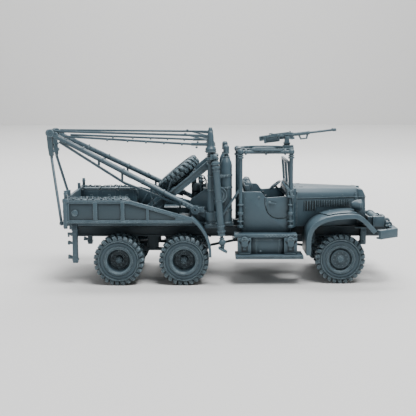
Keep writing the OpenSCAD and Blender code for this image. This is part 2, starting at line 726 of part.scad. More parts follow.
// Two tyres on one dished wheel
module twin_wheel() difference() {
  union() {
    tyre();
    translate([0, 0, -tyre_w - twin_gap]) tyre();
    disc(rim_r, -tyre_w - twin_gap - 0.6, 0.6 - tyre_w);
    disc(1.9, 0.3 - 2 * tyre_w - twin_gap, -tyre_w);
    disc(1.1, -tyre_w, -rear_hub);
  }
  disc(bore_r, -2 * tyre_w - twin_gap, -rear_hub - hub_wall);
}

// Puts a wheel on the left (side = 1) or the right (side = -1)
module at_wheel(x, face_y, side) translate([x, side * face_y, wheel_z]) rotate([-90 * side, 0, 0])
  children();

module wheel_front_right() color(grey) at_wheel(front_x, front_face_y, -1) single_wheel();
module wheel_front_left() color(grey) at_wheel(front_x, front_face_y, 1) single_wheel();
module wheel_middle_right() color(grey) at_wheel(mid_x, rear_face_y, -1) twin_wheel();
module wheel_middle_left() color(grey) at_wheel(mid_x, rear_face_y, 1) twin_wheel();
module wheel_rear_right() color(grey) at_wheel(rear_x, rear_face_y, -1) twin_wheel();
module wheel_rear_left() color(grey) at_wheel(rear_x, rear_face_y, 1) twin_wheel();

// ---- Mast and what it carries ----

beam_z = mast_top_z - 4.3;
beam_d = 1.6;
foot_h = 1.1;
pin_r = 0.45;
head_z = mast_top_z + 0.05;
leg_pivot = [mast_x + 1.2, mast_y + 1.9, mast_top_z - 1.6];
leg_pin_r = 0.35;

module mast() color(grey) {
  both_sides() {
    translate([mast_x, mast_y, well_z]) cylinder(h = foot_h, r = 1.5);
    translate([mast_x, mast_y, well_z]) cylinder(h = mast_top_z - well_z, r = mast_r);
    translate([mast_x, mast_y, mast_top_z - 0.3]) cylinder(h = 0.3, r = 1.65);
    translate([mast_x, mast_y, mast_top_z]) cylinder(h = 4.4, r = pin_r);
    // lug and pin of the outrigger
    block([mast_x - 0.1, mast_y + 0.4, leg_pivot[2] - 0.7],
      [mast_x + 0.6, leg_pivot[1] + 0.6, leg_pivot[2] + 0.7]);
    translate([mast_x + 0.5, leg_pivot[1], leg_pivot[2]]) rotate([0, 90, 0]) cylinder(h = 1.3,
      r = leg_pin_r);
  }
  cross_bar(mast_x, beam_z, beam_d, -mast_y, mast_y);
}

brace_y = 8.9;
brace_w = 1;
brace_half = 1;
brace_angle = 39;
brace_top_x = mast_x - beam_d / 2;
brace_run = (beam_z - well_z) / sin(brace_angle) + 2;

// Runs down the braces along x, with z square to them
module on_braces() translate([brace_top_x, 0, beam_z]) rotate([0, brace_angle, 180]) children();

module mast_braces() color(grey) difference() {
  on_braces() both_sides() difference() {
    block([-0.4, brace_y - brace_w / 2, -brace_half], [brace_run, brace_y + brace_w / 2, brace_half]);
    block([1.5, brace_y + brace_w / 2 - 0.3, -0.6], [brace_run - 4, brace_y + brace_w, 0.6]);
  }
  block([rear_x - 20, -brace_y - 2, well_z - 9], [mast_x, brace_y + 2, well_z]);
  cross_bar(mast_x, beam_z, beam_d + 0.1, -mast_y, mast_y);
}

spare_s = 8.6;
spare_gap = 0.3;
carrier_top = brace_half + 0.15;

module spare_carrier() color(dark) on_braces() {
  for (s = [spare_s - 3.4, spare_s + 3.4])
    block([s - 0.6, brace_w / 2 - brace_y, -0.8], [s + 0.6, brace_y - brace_w / 2, carrier_top]);
  block([spare_s - 3.4, -1.2, -0.8], [spare_s + 3.4, 1.2, carrier_top - 0.1]);
  translate([spare_s, 0, 0]) cylinder(h = carrier_top + tyre_w - front_hub - hub_wall, r = spindle_r);
}

module spare_wheel() color(grey) on_braces()
  translate([spare_s, 0, carrier_top + spare_gap - 0.1 + tyre_w]) single_wheel();

crane_y = 7.6;
crane_wall = 0.6;
drum_z = well_z + 5;
drum_x = [mast_x - 4, mast_x - 0.4];
disc_x = mast_x + 2.1;
disc_z = well_z + 8.2;

module crane_winch() color(dark) {
  both_sides() {
    side_plate(crane_y - crane_wall, crane_y) polygon([
      [mast_x - 6.4, well_z], [mast_x - 5.8, well_z + 6.5], [mast_x - 1.5, well_z + 9.6],
      [mast_x + 2.8, well_z + 9.6], [mast_x + 2.8, well_z]
    ]);
    cross_bar(disc_x, disc_z, 4.8, mast_y - 1.7, mast_y - 1.1);
  }
  for (x = drum_x) {
    cross_bar(x, drum_z, 2.6, -crane_y, crane_y);
    for (y = [-crane_y + crane_wall, -2.2, 1.6, crane_y - crane_wall - 0.6]) cross_bar(x, drum_z, 3.4,
      y, y + 0.6);
  }
  cross_bar(disc_x, disc_z, 0.8, 1.2 - mast_y, mast_y - 1.2);
  // gear case in the middle
  block([mast_x - 5.6, -1.6, well_z], [mast_x + 1.4, 1.6, well_z + 9]);
}

lever_y = [-6, -3.6, 3.6, 6];

module control_levers() color(dark) {
  lever_foot = [mast_x - 2.6, well_z + 7.4];
  cross_bar(lever_foot[0], lever_foot[1], 0.8, crane_wall - crane_y, -1.65);
  cross_bar(lever_foot[0], lever_foot[1], 0.8, 1.65, crane_y - crane_wall);
  for (y = lever_y) {
    bar([lever_foot[0], y, lever_foot[1]], [lever_foot[0] - 0.4, y, lever_foot[1] + 4.2], 0.5);
    translate([lever_foot[0] - 0.4, y, lever_foot[1] + 4.2]) sphere(r = 0.55, $fn = 24);
  }
}

bottle_x = mast_x + 4.4;
bottle_y = 9;
bottle_r = 1.7;

module gas_cylinders() color(grey) both_sides() {
  translate([bottle_x, bottle_y, well_z]) rotate_extrude() polygon([
    [0, 0], [bottle_r, 0], [bottle_r, 16.4], [1.45, 17.6], [0.85, 18.7], [0.5, 19.2],
    [0.5, 19.6], [0.85, 19.8], [0.85, 21.7], [0.5, 22.2], [0, 22.2]
  ]);
  bar([mast_x + 0.9, mast_y - 0.9, well_z + 13.2], [bottle_x - 1.3, bottle_y + 1, well_z + 13.2], 0.5);
}

// ---- Booms ----

boom_turn = atan2(mast_y - boom_head_y, mast_x - tip_x - 1.7);
eye_r = 4.27;
head_half = 0.8;
head_r = 1.1;
head_run = (mast_x - tip_x - head_half * sin(boom_turn)) / cos(boom_turn) - head_r;
boom_slope = (boom_head_z - eye_z) / (head_run - eye_r);
swivel_top = well_z + foot_h + 2.5;
swivel_bottom = well_z + foot_h + 0.05;
chord_d = 0.7;
block_bottom_z = boom_head_z - 6.6;

// Left boom's own side view: x is the distance from its post
module on_boom() translate([mast_x, mast_y, 0]) rotate([0, 0, 180 + boom_turn]) children();

function boom_z(r) = eye_z + boom_slope * (r - eye_r);
// Point below the boom's centre line: share runs from the eye to the head
function chord_point(share, drop) =
  let (r = eye_r + share * (head_run - eye_r)) [r, boom_z(r) - drop];
chord_knee = 0.48;
chord_sag = 2.75;
function chord_drop(share) =
  share < chord_knee ? 0.6 + (chord_sag - 0.6) * (share - 0.1) / (chord_knee - 0.1)
  : chord_sag - (chord_sag - 0.7) * (share - chord_knee) / (0.93 - chord_knee);

module boom() on_boom() {
  chord = [for (share = [0.1, chord_knee, 0.93]) chord_point(share, chord_drop(share))];
  difference() {
    union() {
      translate([0, 0, swivel_bottom]) cylinder(h = swivel_top - swivel_bottom, r = 1.6);
      side_plate(-0.5, 0.5) polygon([
        [0, swivel_bottom + 0.2], [eye_r, eye_z - 1], [eye_r, eye_z + 0.6], [0, swivel_top - 0.1]
      ]);
    }
    translate([0, 0, swivel_bottom - 1]) cylinder(h = 8, r = mast_r + fit);
  }
  cross_bar(eye_r, eye_z, 2.1, -0.9, 0.9);
  bar([eye_r, 0, eye_z], [head_run, 0, boom_head_z], boom_d);
  side_plate(-chord_d / 2, chord_d / 2) strip(chord, chord_d);
  for (share = [0.3, chord_knee + 0.02, 0.66])
    side_bar(chord_point(share, chord_drop(share)), chord_point(share, 0.2), 0.6, -0.25, 0.25);
  // head and the sheave block that hangs from it
  cross_bar(head_run, boom_head_z, 2 * head_r, -head_half, head_half);
  side_plate(0.15 - head_half, head_half - 0.15) polygon([
    [head_run - 0.8, boom_head_z], [head_run + 0.9, boom_head_z],
    [head_run + 0.6, boom_head_z - 4], [head_run + 0.2, block_bottom_z], [head_run - 0.9, block_bottom_z],
    [head_run - 0.7, boom_head_z - 3]
  ]);
}

module boom_left() color(grey) boom();
module boom_right() color(grey) mirror([0, 1, 0]) boom();

upper_line_z = mast_top_z + 4.2;
lower_line_z = mast_top_z + 1.8;
strap_r = 5.5;
// Where each topping line meets the top of the boom
tube_top = boom_d / 2 / cos(atan(boom_slope)) + line_d / 2 + 0.05;
upper_end = [head_run - head_r - 0.4, 0, boom_head_z + 0.5];
lower_end_r = head_run - 4.5;
lower_end = [lower_end_r, 0, boom_z(lower_end_r) + tube_top + 0.05];

module boom_lines() {
  on_boom() {
    difference() {
      translate([0, 0, head_z]) rotate_extrude() polygon([
        [0, 0], [1.5, 0], [1.5, 0.6], [1, 1.3], [0.8, 4.3], [0.55, 5.2], [0.4, 5.4], [0, 5.4]
      ]);
      translate([0, 0, head_z - 1]) cylinder(h = 5.5, r = pin_r + fit);
    }
    difference() {
      union() {
        bar([0, 0, upper_line_z], upper_end, line_d);
        bar([0, 0, lower_line_z], [strap_r, 0, lower_line_z], 0.9);
        bar([strap_r - 0.3, 0, lower_line_z], lower_end, line_d);
      }
      translate([0, 0, head_z - 1]) cylinder(h = 5.5, r = pin_r + fit);
    }
  }
  // load line from the sheave block down behind the tailboard
  bar([tip_x + 1.5, boom_head_y, block_bottom_z - 0.45],
    [tail_x - 1.6, well_y + 1, deck_z - 1.6], load_line_d);
  translate([tail_x - 1.6, well_y + 1, deck_z - 1.6]) sphere(r = 0.65, $fn = 24);
}

module boom_lines_left() color(dark) boom_lines();
module boom_lines_right() color(dark) mirror([0, 1, 0]) boom_lines();

leg_foot = [mast_x + 3.3, mast_y + 5.2, 10.6];

function leg_point(z) =
  let (t = (leg_pivot[2] - z) / (leg_pivot[2] - leg_foot[2])) leg_pivot + t * (leg_foot - leg_pivot);

module outrigger() {
  difference() {
    union() {
      translate(leg_pivot) rotate([0, 90, 0]) cylinder(h = 0.9, r = 0.9, center = true);
      bar(leg_pivot - [0, 0, 0.4], leg_point(leg_pivot[2] - 1.4), 0.85);
    }
    translate(leg_pivot) rotate([0, 90, 0]) cylinder(h = 5, r = leg_pin_r + fit, center = true);
  }
  bar(leg_point(leg_pivot[2] - 1.1), leg_point(14.4), leg_d);
  bar(leg_point(leg_pivot[2] - 1.4), leg_point(leg_pivot[2] - 2.1), leg_d + 0.5);
  bar(leg_point(14.6), leg_foot, 0.9);
  translate(leg_point(12.6)) sphere(r = 1);
  translate(leg_foot) rotate([0, 30, 0]) cylinder(h = 0.5, r = 1.4, center = true);
}

module outrigger_left() color(grey) outrigger();
module outrigger_right() color(grey) mirror([0, 1, 0]) outrigger();

frame();
front_bumper();
front_winch();
winch_drum();
radiator_shell();
hood();
engine();
cab_body();
windshield_frame();
seats();
steering_wheel();
front_fenders();
headlamps();
ring_mount();
gun_cradle();
gun();
running_boards();
step_boxes();
fuel_tanks();
bed_floor();
bed_side_right();
bed_side_left();
tailboard();
tool_lockers();
tow_posts();
pintle_hook();
front_axle();
middle_axle();
rear_axle();
leaf_springs();
drive_shafts();
transfer_case();
spare_wheel();
spare_carrier();
mast();
mast_braces();
crane_winch();
control_levers();
gas_cylinders();
wheel_front_right();
wheel_front_left();
wheel_middle_right();
wheel_middle_left();
wheel_rear_right();
wheel_rear_left();
boom_right();
boom_left();
boom_lines_right();
boom_lines_left();
outrigger_right();
outrigger_left();
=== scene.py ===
import json
import math

import bmesh
import bpy
from mathutils import Matrix, Vector
from mathutils.bvhtree import BVHTree


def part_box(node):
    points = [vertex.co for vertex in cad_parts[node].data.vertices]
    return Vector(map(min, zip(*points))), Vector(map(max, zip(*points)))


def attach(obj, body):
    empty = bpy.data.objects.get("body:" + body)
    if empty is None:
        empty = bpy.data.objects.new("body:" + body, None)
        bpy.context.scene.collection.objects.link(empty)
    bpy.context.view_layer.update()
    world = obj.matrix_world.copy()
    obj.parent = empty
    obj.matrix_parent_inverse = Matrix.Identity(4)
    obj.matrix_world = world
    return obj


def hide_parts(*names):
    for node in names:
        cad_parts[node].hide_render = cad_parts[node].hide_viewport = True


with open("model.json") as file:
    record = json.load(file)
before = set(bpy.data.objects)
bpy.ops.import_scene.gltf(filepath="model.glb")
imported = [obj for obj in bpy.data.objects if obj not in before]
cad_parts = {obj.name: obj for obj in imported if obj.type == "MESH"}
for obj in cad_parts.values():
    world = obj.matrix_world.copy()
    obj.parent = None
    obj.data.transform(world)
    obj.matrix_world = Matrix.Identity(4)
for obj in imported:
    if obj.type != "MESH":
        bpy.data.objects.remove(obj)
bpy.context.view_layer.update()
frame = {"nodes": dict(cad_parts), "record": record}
mm = 0.001
bodyOf = {}
for bodyName, nodeNames in frame["record"]["behaviour"]["bodies"].items():
    for nodeName in nodeNames:
        bodyOf[nodeName] = bodyName


def at(x, y, z):  # a place in millimetres
    return Matrix.Translation(Vector((x, y, z)) * mm)


def turn(degrees, axis):
    return Matrix.Rotation(math.radians(degrees), 4, axis)


def moved(obj, place):  # moves the mesh itself, so the object stays at the origin
    obj.data.transform(place)
    return obj


def aimed(axis, run):  # turns the axis to point along the run
    return Vector(axis).rotation_difference(run.normalized()).to_matrix().to_4x4()


def each(make, rows):
    return [make(*row) for row in rows]


def loop(major, minor, count):  # the round section of a hoop, for turned()
    return [(major + minor * math.cos(a), minor * math.sin(a))
            for a in [2 * math.pi * k / count for k in range(count)]]


def pick(obj):
    bpy.ops.object.select_all(action="DESELECT")
    obj.select_set(True)
    bpy.context.view_layer.objects.active = obj


def editMesh(obj):
    pick(obj)
    bpy.ops.object.mode_set(mode="EDIT")
    bpy.ops.mesh.select_all(action="SELECT")


def closeMesh():  # normals recalculated outward, then out of edit mode
    bpy.ops.mesh.select_all(action="SELECT")
    bpy.ops.mesh.normals_make_consistent(inside=False)
    bpy.ops.object.mode_set(mode="OBJECT")


def named(name):  # the primitive just added
    obj = bpy.context.object
    obj.name = name
    return obj


def settle(obj):  # puts the place into the mesh, so the object sits at the origin
    pick(obj)
    bpy.ops.object.transform_apply(location=True, rotation=True, scale=True)


def bevelEdges(obj, width, segments=2, angle=35):  # width in millimetres
    pick(obj)
    soft = obj.modifiers.new("soft", "BEVEL")
    soft.width = width * mm
    soft.segments = segments
    soft.limit_method = "ANGLE"
    soft.angle_limit = math.radians(angle)
    soft.use_clamp_overlap = False
    bpy.ops.object.modifier_apply(modifier=soft.name)


def smooth(obj, angle=35):
    pick(obj)
    bpy.ops.object.shade_smooth_by_angle(angle=math.radians(angle))


def eased(obj, bevel, angle=35, shade=35):  # soft edges and smooth shading
    bevelEdges(obj, bevel, 2, angle)
    smooth(obj, shade)
    return obj


def joinAll(objs, name):
    whole = objs[0]
    pick(whole)
    for obj in objs:
        obj.select_set(True)
    if len(objs) > 1:
        bpy.ops.object.join()
    whole.name = name
    whole.data.name = name
    return whole


def copyOf(obj, place, name="copy"):  # a copy with its own mesh, moved in the mesh
    twin = bpy.data.objects.new(name, obj.data.copy())
    bpy.context.collection.objects.link(twin)
    twin.data.transform(place)
    if place.determinant() < 0:
        twin.data.flip_normals()
    return twin


def rounded(lo, hi, bevel=0.08, name="block"):  # a box between two corners, in millimetres, with soft edges
    lo, hi = Vector(lo) * mm, Vector(hi) * mm
    bpy.ops.mesh.primitive_cube_add(size=1, location=(lo + hi) / 2)
    obj = named(name)
    obj.scale = hi - lo
    settle(obj)
    return eased(obj, bevel)


def rod(a, b, radius, name="rod", sides=20, bevel=0.06):  # a round bar between two points, in millimetres
    a, b = Vector(a) * mm, Vector(b) * mm
    bpy.ops.mesh.primitive_cylinder_add(vertices=sides, radius=radius * mm, depth=(b - a).length)
    obj = named(name)
    obj.data.transform(Matrix.Translation((a + b) / 2) @ aimed((0, 0, 1), b - a))
    return eased(obj, bevel, 50, 40)


def turned(section, name="turned", steps=48):  # a closed section of (radius, height) points spun about z
    bpy.ops.mesh.primitive_circle_add(vertices=len(section), radius=1, fill_type="NOTHING")
    obj = named(name)
    for vert, (r, z) in zip(obj.data.vertices, section):
        vert.co = Vector((r, 0, z)) * mm
    editMesh(obj)
    bpy.ops.mesh.spin(steps=steps, angle=2 * math.pi, center=(0, 0, 0), axis=(0, 0, 1))
    bpy.ops.mesh.select_all(action="SELECT")
    bpy.ops.mesh.remove_doubles(threshold=1e-6)
    bpy.ops.mesh.dissolve_degenerate(threshold=1e-7)
    closeMesh()
    smooth(obj, 38)
    return obj


def alongY(obj, x, y, z, side=-1):  # turns a shape made about z so that its top faces outward on the given side
    return moved(obj, at(x, y, z) @ turn(-90 * side, "X"))


def mirrored(obj, name):
    return copyOf(obj, Matrix.Scale(-1, 4, (0, 1, 0)), name)


# what a user would change in the plastic
plastic = {
    "colour": (0.047, 0.083, 0.107, 1),
    "pale": (0.085, 0.138, 0.168, 1),
    # the dark colour that the painted shade in hollows blends to
    "deep": (0.008, 0.016, 0.022, 1),
    # the colour of lighter edges, partly wear and partly painted highlight
    "edge": (0.26, 0.355, 0.40, 1),
    "roughness": 0.46,
    # how wide the lighter edges are, partly wear and partly painted highlight
    "wearAndHighlightWidth": 0.20 * mm,
    # how far the painted shade in hollows reaches
    "paintedShadeReach": 3.0 * mm,
}


def newGroup(name, label, value, outputs):  # a node group with one number going in
    group = bpy.data.node_groups.new(name, "ShaderNodeTree")
    socket = group.interface.new_socket(name=label, in_out="INPUT", socket_type="NodeSocketFloat")
    socket.default_value = value
    for label in outputs:
        group.interface.new_socket(name=label, in_out="OUTPUT", socket_type="NodeSocketFloat")
    return group, group.nodes.new("NodeGroupInput"), group.nodes.new("NodeGroupOutput")


def feed(tree, socket, value):  # a number or a colour sets the socket, an output is linked to it
    if isinstance(value, (int, float, tuple)):
        socket.default_value = value
    else:
        tree.links.new(value, socket)


def mathNode(tree, operation, a, b, clamp=False):
    node = tree.nodes.new("ShaderNodeMath")
    node.operation = operation
    node.use_clamp = clamp
    feed(tree, node.inputs[0], a)
    feed(tree, node.inputs[1], b)
    return node.outputs[0]


def blendColour(tree, factor, a, b):
    node = tree.nodes.new("ShaderNodeMix")
    node.data_type = "RGBA"
    node.clamp_factor = True
    for slot, value in ((0, factor), (6, a), (7, b)):
        feed(tree, node.inputs[slot], value)
    return node.outputs[2]


def noiseNode(tree, scale, detail, rough=0.55):
    where = tree.nodes.new("ShaderNodeTexCoord")
    node = tree.nodes.new("ShaderNodeTexNoise")
    node.inputs["Scale"].default_value = scale
    node.inputs["Detail"].default_value = detail
    node.inputs["Roughness"].default_value = rough
    tree.links.new(where.outputs["Object"], node.inputs["Vector"])
    return node.outputs["Fac"]


def stretch(tree, value, low, high):  # maps low..high to 0..1
    node = tree.nodes.new("ShaderNodeMapRange")
    node.inputs["From Min"].default_value = low
    node.inputs["From Max"].default_value = high
    tree.links.new(value, node.inputs["Value"])
    return node.outputs[0]


def buildEdgeWearAndHighlight():  # how sharp the surface is here, broken up by noise; it lightens edges, partly wear and partly painted highlight
    group, start, end = newGroup("edgeWearAndHighlight", "Width", plastic["wearAndHighlightWidth"], ["Mask"])
    soft = group.nodes.new("ShaderNodeBevel")
    soft.samples = 6
    group.links.new(start.outputs["Width"], soft.inputs["Radius"])
    flat = group.nodes.new("ShaderNodeNewGeometry")
    dot = group.nodes.new("ShaderNodeVectorMath")
    dot.operation = "DOT_PRODUCT"
    group.links.new(soft.outputs[0], dot.inputs[0])
    group.links.new(flat.outputs["Normal"], dot.inputs[1])
    sharp = stretch(group, mathNode(group, "SUBTRACT", 1.0, dot.outputs["Value"]), 0.003, 0.09)
    broken = stretch(group, noiseNode(group, 900, 4), 0.28, 0.56)
    group.links.new(mathNode(group, "MULTIPLY", sharp, broken, True), end.inputs["Mask"])
    return group


def buildPaintedShade():  # painted shade: dark where the surface is hemmed in, in the recesses of a moulding
    group, start, end = newGroup("paintedShade", "Reach", plastic["paintedShadeReach"], ["Mask"])
    shade = group.nodes.new("ShaderNodeAmbientOcclusion")
    shade.samples = 6
    group.links.new(start.outputs["Reach"], shade.inputs["Distance"])
    dark = stretch(group, mathNode(group, "SUBTRACT", 1.0, shade.outputs["AO"]), 0.10, 0.62)
    group.links.new(dark, end.inputs["Mask"])
    return group


def buildGrain():  # cloudy tone and the fine grain of printed or moulded plastic
    group, start, end = newGroup("grain", "Cloud Size", 260.0, ["Cloud", "Grain"])
    cloud = noiseNode(group, 260, 5)
    group.links.new(start.outputs["Cloud Size"], cloud.node.inputs["Scale"])
    group.links.new(stretch(group, cloud, 0.3, 0.72), end.inputs["Cloud"])
    group.links.new(noiseNode(group, 5200, 3, 0.6), end.inputs["Grain"])
    return group


groups = {"wearAndHighlight": buildEdgeWearAndHighlight(), "paintedShade": buildPaintedShade(), "grain": buildGrain()}


def groupNode(tree, name):
    node = tree.nodes.new("ShaderNodeGroup")
    node.node_tree = groups[name]
    return node


def makePlastic(name, tone=1.0, roughness=None, wearAndHighlight=0.75, grainDepth=0.012):
    material = bpy.data.materials.new(name)
    material.use_nodes = True
    tree = material.node_tree
    shader = tree.nodes["Principled BSDF"]
    grain, wearAndHighlightMask, shadeMask = groupNode(tree, "grain"), groupNode(tree, "wearAndHighlight"), groupNode(tree, "paintedShade")
    scaled = [tuple(c * tone for c in plastic[key][:3]) + (1,) for key in ("colour", "pale", "deep", "edge")]
    base = blendColour(tree, mathNode(tree, "MULTIPLY", grain.outputs["Cloud"], 0.35), scaled[0], scaled[1])
    # painted shade: darker where the surface is hemmed in
    base = blendColour(tree, mathNode(tree, "MULTIPLY", shadeMask.outputs["Mask"], 0.9), base, scaled[2])
    # lighter edges, partly wear and partly painted highlight
    base = blendColour(tree, mathNode(tree, "MULTIPLY", wearAndHighlightMask.outputs["Mask"], wearAndHighlight), base, scaled[3])
    tree.links.new(base, shader.inputs["Base Color"])
    rough = roughness or plastic["roughness"]
    spread = mathNode(tree, "MULTIPLY", grain.outputs["Cloud"], 0.14)
    tree.links.new(mathNode(tree, "ADD", spread, rough - 0.05), shader.inputs["Roughness"])
    bump = tree.nodes.new("ShaderNodeBump")
    bump.inputs["Strength"].default_value = 0.5
    bump.inputs["Distance"].default_value = grainDepth * mm
    tree.links.new(grain.outputs["Grain"], bump.inputs["Height"])
    tree.links.new(bump.outputs[0], shader.inputs["Normal"])
    shader.inputs["IOR"].default_value = 1.5
    return material


finish = {
    "body": makePlastic("greyPlastic"),
    "tread": makePlastic("treadPlastic", 0.78, 0.56, 0.8, 0.02),
    # painted shade: a darker copy of the plastic for parts under the truck, the crane winch, rods and the cab's inside
    "under": makePlastic("underPlastic", 0.5, 0.55, 0.4),
    # painted shade: a darker copy of the plastic for recessed panels
    "recess": makePlastic("recessPlastic", 0.66, 0.52, 0.3),
    "shadow": makePlastic("shadowPlastic", 0.22, 0.7, 0.1),
}
print("materials ready")


def show(obj, body="chassis", material="body", stands=()):
    obj.data.materials.clear()
    obj.data.materials.append(finish[material])
    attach(obj, body)
    if stands:
        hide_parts(*stands)


# width of the softened edges on each moulded part, in millimetres
softEdge = {
    "frame": 0.07, "front_bumper": 0.09, "front_winch": 0.09, "winch_drum": 0.06, "radiator_shell": 0.09,
    "hood": 0.10, "engine": 0.06, "cab_body": 0.09, "windshield_frame": 0.07, "seats": 0.14,
    "steering_wheel": 0.04, "front_fenders": 0.08, "headlamps": 0.06, "ring_mount": 0.06, "gun_cradle": 0.05,
    "gun": 0.04, "running_boards": 0.08, "step_boxes": 0.09, "fuel_tanks": 0.12, "bed_floor": 0.08,
    "bed_side_right": 0.07, "bed_side_left": 0.07, "tailboard": 0.07, "tool_lockers": 0.09, "tow_posts": 0.07,
    "pintle_hook": 0.05, "front_axle": 0.06, "middle_axle": 0.06, "rear_axle": 0.06, "leaf_springs": 0.05,
    "drive_shafts": 0.05, "transfer_case": 0.10, "spare_carrier": 0.06, "mast": 0.08, "mast_braces": 0.07,
    "crane_winch": 0.07, "control_levers": 0.04, "gas_cylinders": 0.08, "boom_right": 0.05, "boom_left": 0.05,
    "boom_lines_right": 0.03, "boom_lines_left": 0.03, "outrigger_right": 0.05, "outrigger_left": 0.05,
}

keepTriangles = ("bed_side_right", "bed_side_left", "gun")


def softened(nodeName, width):  # the CAD part again with welded, softened edges
    obj = copyOf(frame["nodes"][nodeName], Matrix.Identity(4), nodeName + "_soft")
    obj.parent = None
    editMesh(obj)
    bpy.ops.mesh.remove_doubles(threshold=2e-6)
    if nodeName not in keepTriangles:
        bpy.ops.mesh.dissolve_limited(angle_limit=math.radians(2))
    closeMesh()
    return eased(obj, width, 32, 40)


# these parts take the darker plastic of painted shade
underside = ("frame", "front_axle", "middle_axle", "rear_axle", "leaf_springs", "drive_shafts", "transfer_case",
             "engine")
for nodeName, width in softEdge.items():
    show(softened(nodeName, width), bodyOf[nodeName], "under" if nodeName in underside else "body",
         stands=(nodeName,))
print("softened parts", len(softEdge))

# wheel sizes in millimetres; each wheel is made with its outer face at z = 0 and its axle along z
wheel = {"tyreR": 7.05, "treadBase": 6.66, "width": 3.3, "rimR": 3.6, "blocks": 26, "lugs": 10, "twinGap": 0.3}


def treadBlock(side):  # one slanted block over the shoulder; faces of the outer row (side 1) point inward
    top, base = wheel["tyreR"] - 0.035, wheel["treadBase"] - 0.35
    middle, width = wheel["width"] / 2, wheel["width"]
    bpy.ops.mesh.primitive_cube_add(size=1)
    obj = named("treadBlock")
    reach = middle - 0.12
    spots = {
        (-1, -1): (base, 0.08), (-1, 1): (base, middle - 0.06), (1, -1): (top, 0.52), (1, 1): (top, reach),
    }
    editMesh(obj)
    mesh = bmesh.from_edit_mesh(obj.data)
    for vert in mesh.verts:
        up, out, along = (1 if c > 0 else -1 for c in vert.co)
        radius, depth = spots[(up, -out)]
        slant = 0.30 * (depth / reach - 0.5)
        half = 0.40 if up > 0 else 0.50
        z = -depth if side > 0 else depth - width
        vert.co = Vector((radius, along * half + slant * side, z)) * mm
    bmesh.update_edit_mesh(obj.data)
    closeMesh()
    bevelEdges(obj, 0.06, 1, 30)
    return obj


def shoulderLug(side):  # the slanted bar that each block sends down the sidewall
    lug = rounded((-0.5, -0.5, -0.5), (0.5, 0.5, 0.5), 0.01, "shoulderLug")
    width = wheel["width"]
    for vert in lug.data.vertices:
        x, y, z = vert.co / mm
        radius = 6.45 + 1.06 * x
        depth = 0.38 + 0.42 * (x + 0.5) - 0.6 * z
        along = y * 0.86 + (0.42 * x + 0.05) * side
        vert.co = Vector((radius, along, -depth if side > 0 else depth - width)) * mm
    if side < 0:
        lug.data.flip_normals()
    return lug


def makeTyre():
    width, rim, base = wheel["width"], wheel["rimR"], wheel["treadBase"]
    wall = ((-0.3, -0.42), (-0.02, -0.3), (0.06, -0.05), (0.16, 0), (0.36, 0), (0.46, -0.3), (0.66, -0.36), (0.9, -0.2),
            (1.5, -0.2), (1.7, -0.34), (1.82, 0), (2.04, 0), (2.16, -0.4))  # out from the rim
    half = [(rim + r, z) for r, z in wall] + [(base - 0.5, -0.5), (base - 0.2, -0.85), (base, -1.2)]
    section = half + [(r, -width - z) for r, z in reversed(half)]
    parts = [turned(section, "casing", 72)]
    step = 2 * math.pi / wheel["blocks"]
    for side in (1, -1):
        block, lug = treadBlock(side), shoulderLug(side)
        for n in range(wheel["blocks"]):
            spot = Matrix.Rotation(step * (n + (0.25 if side > 0 else 0.75)), 4, "Z")
            parts += [copyOf(block, spot), copyOf(lug, spot)]
        for spare in (block, lug):
            bpy.data.objects.remove(spare)
    return joinAll(parts, "tyre")


def ring(count, radius, shape, start=0.0):  # copies of a small shape round the axle
    copies = [copyOf(shape, Matrix.Rotation(2 * math.pi * n / count + start, 4, "Z") @ at(radius, 0, 0))
              for n in range(count)]
    bpy.data.objects.remove(shape)
    return copies


def makeRaisedRim():  # front wheels and the spare: a domed disc with nuts round a boss
    back = 0.6 - wheel["width"]
    disc = turned([(0, -0.62), (0.9, -0.62), (1.32, -0.66), (1.42, -0.50), (2.3, -0.42), (2.62, -0.52), (2.82, -0.95),
                   (3.05, -1.05), (3.3, -0.85), (3.42, -0.35), (3.62, -0.14), (3.74, -0.30), (3.66, -1.5),
                   (2.1, -1.62), (2.1, back), (0, back)], "rimDisc", 60)
    boss = turned([(0, -0.08), (0.5, -0.10), (0.82, -0.2), (0.92, -0.36), (1.02, -0.40), (1.14, -0.46), (1.14, -0.9),
                   (0, -0.9)], "hubBoss", 36)
    nuts = ring(wheel["lugs"], 1.92, rod((0, 0, -0.62), (0, 0, -0.24), 0.19, "nut", 6, 0.04))
    ribs = ring(8, 0.72, rounded((-0.2, -0.05, -0.3), (0.22, 0.05, -0.12), 0.03, "hubRib"), 0.2)
    return joinAll([disc, boss] + nuts + ribs, "raisedRim")


def makeDishedRim():  # twin wheels: a deep dish with a long hub in its middle
    width = wheel["width"]
    floorZ = 0.6 - width
    dish = turned([(0, floorZ), (1.2, floorZ), (1.9, floorZ - 0.04), (2.2, floorZ + 0.10), (2.62, floorZ + 0.14),
                   (2.86, floorZ + 0.02), (3.0, floorZ + 0.25), (3.12, -1.2), (3.2, -0.75), (3.4, -0.55),
                   (3.46, -0.28), (3.64, -0.14), (3.76, -0.30), (3.7, -width), (3.2, floorZ - 0.75),
                   (0, floorZ - 0.75)], "dish", 60)
    hub = turned([(0, -1.28), (0.46, -1.30), (0.62, -1.42), (0.66, -1.75), (0.98, -1.86), (1.08, -2.0), (1.1, -2.45),
                  (1.3, floorZ - 0.1), (0, floorZ - 0.1)], "hub", 36)
    nuts = ring(wheel["lugs"], 1.72, rod((0, 0, floorZ - 0.1), (0, 0, floorZ + 0.34), 0.2, "nut", 6, 0.04))
    caps = ring(6, 0.8, rod((0, 0, -2.1), (0, 0, -1.72), 0.11, "hubBolt", 6, 0.03), 0.3)
    holes = ring(6, 2.42, rounded((-0.16, -0.3, floorZ - 0.05), (0.16, 0.3, floorZ + 0.24), 0.07, "handHole"), 0.5)
    return joinAll([dish, hub] + nuts + caps + holes, "dishedRim")


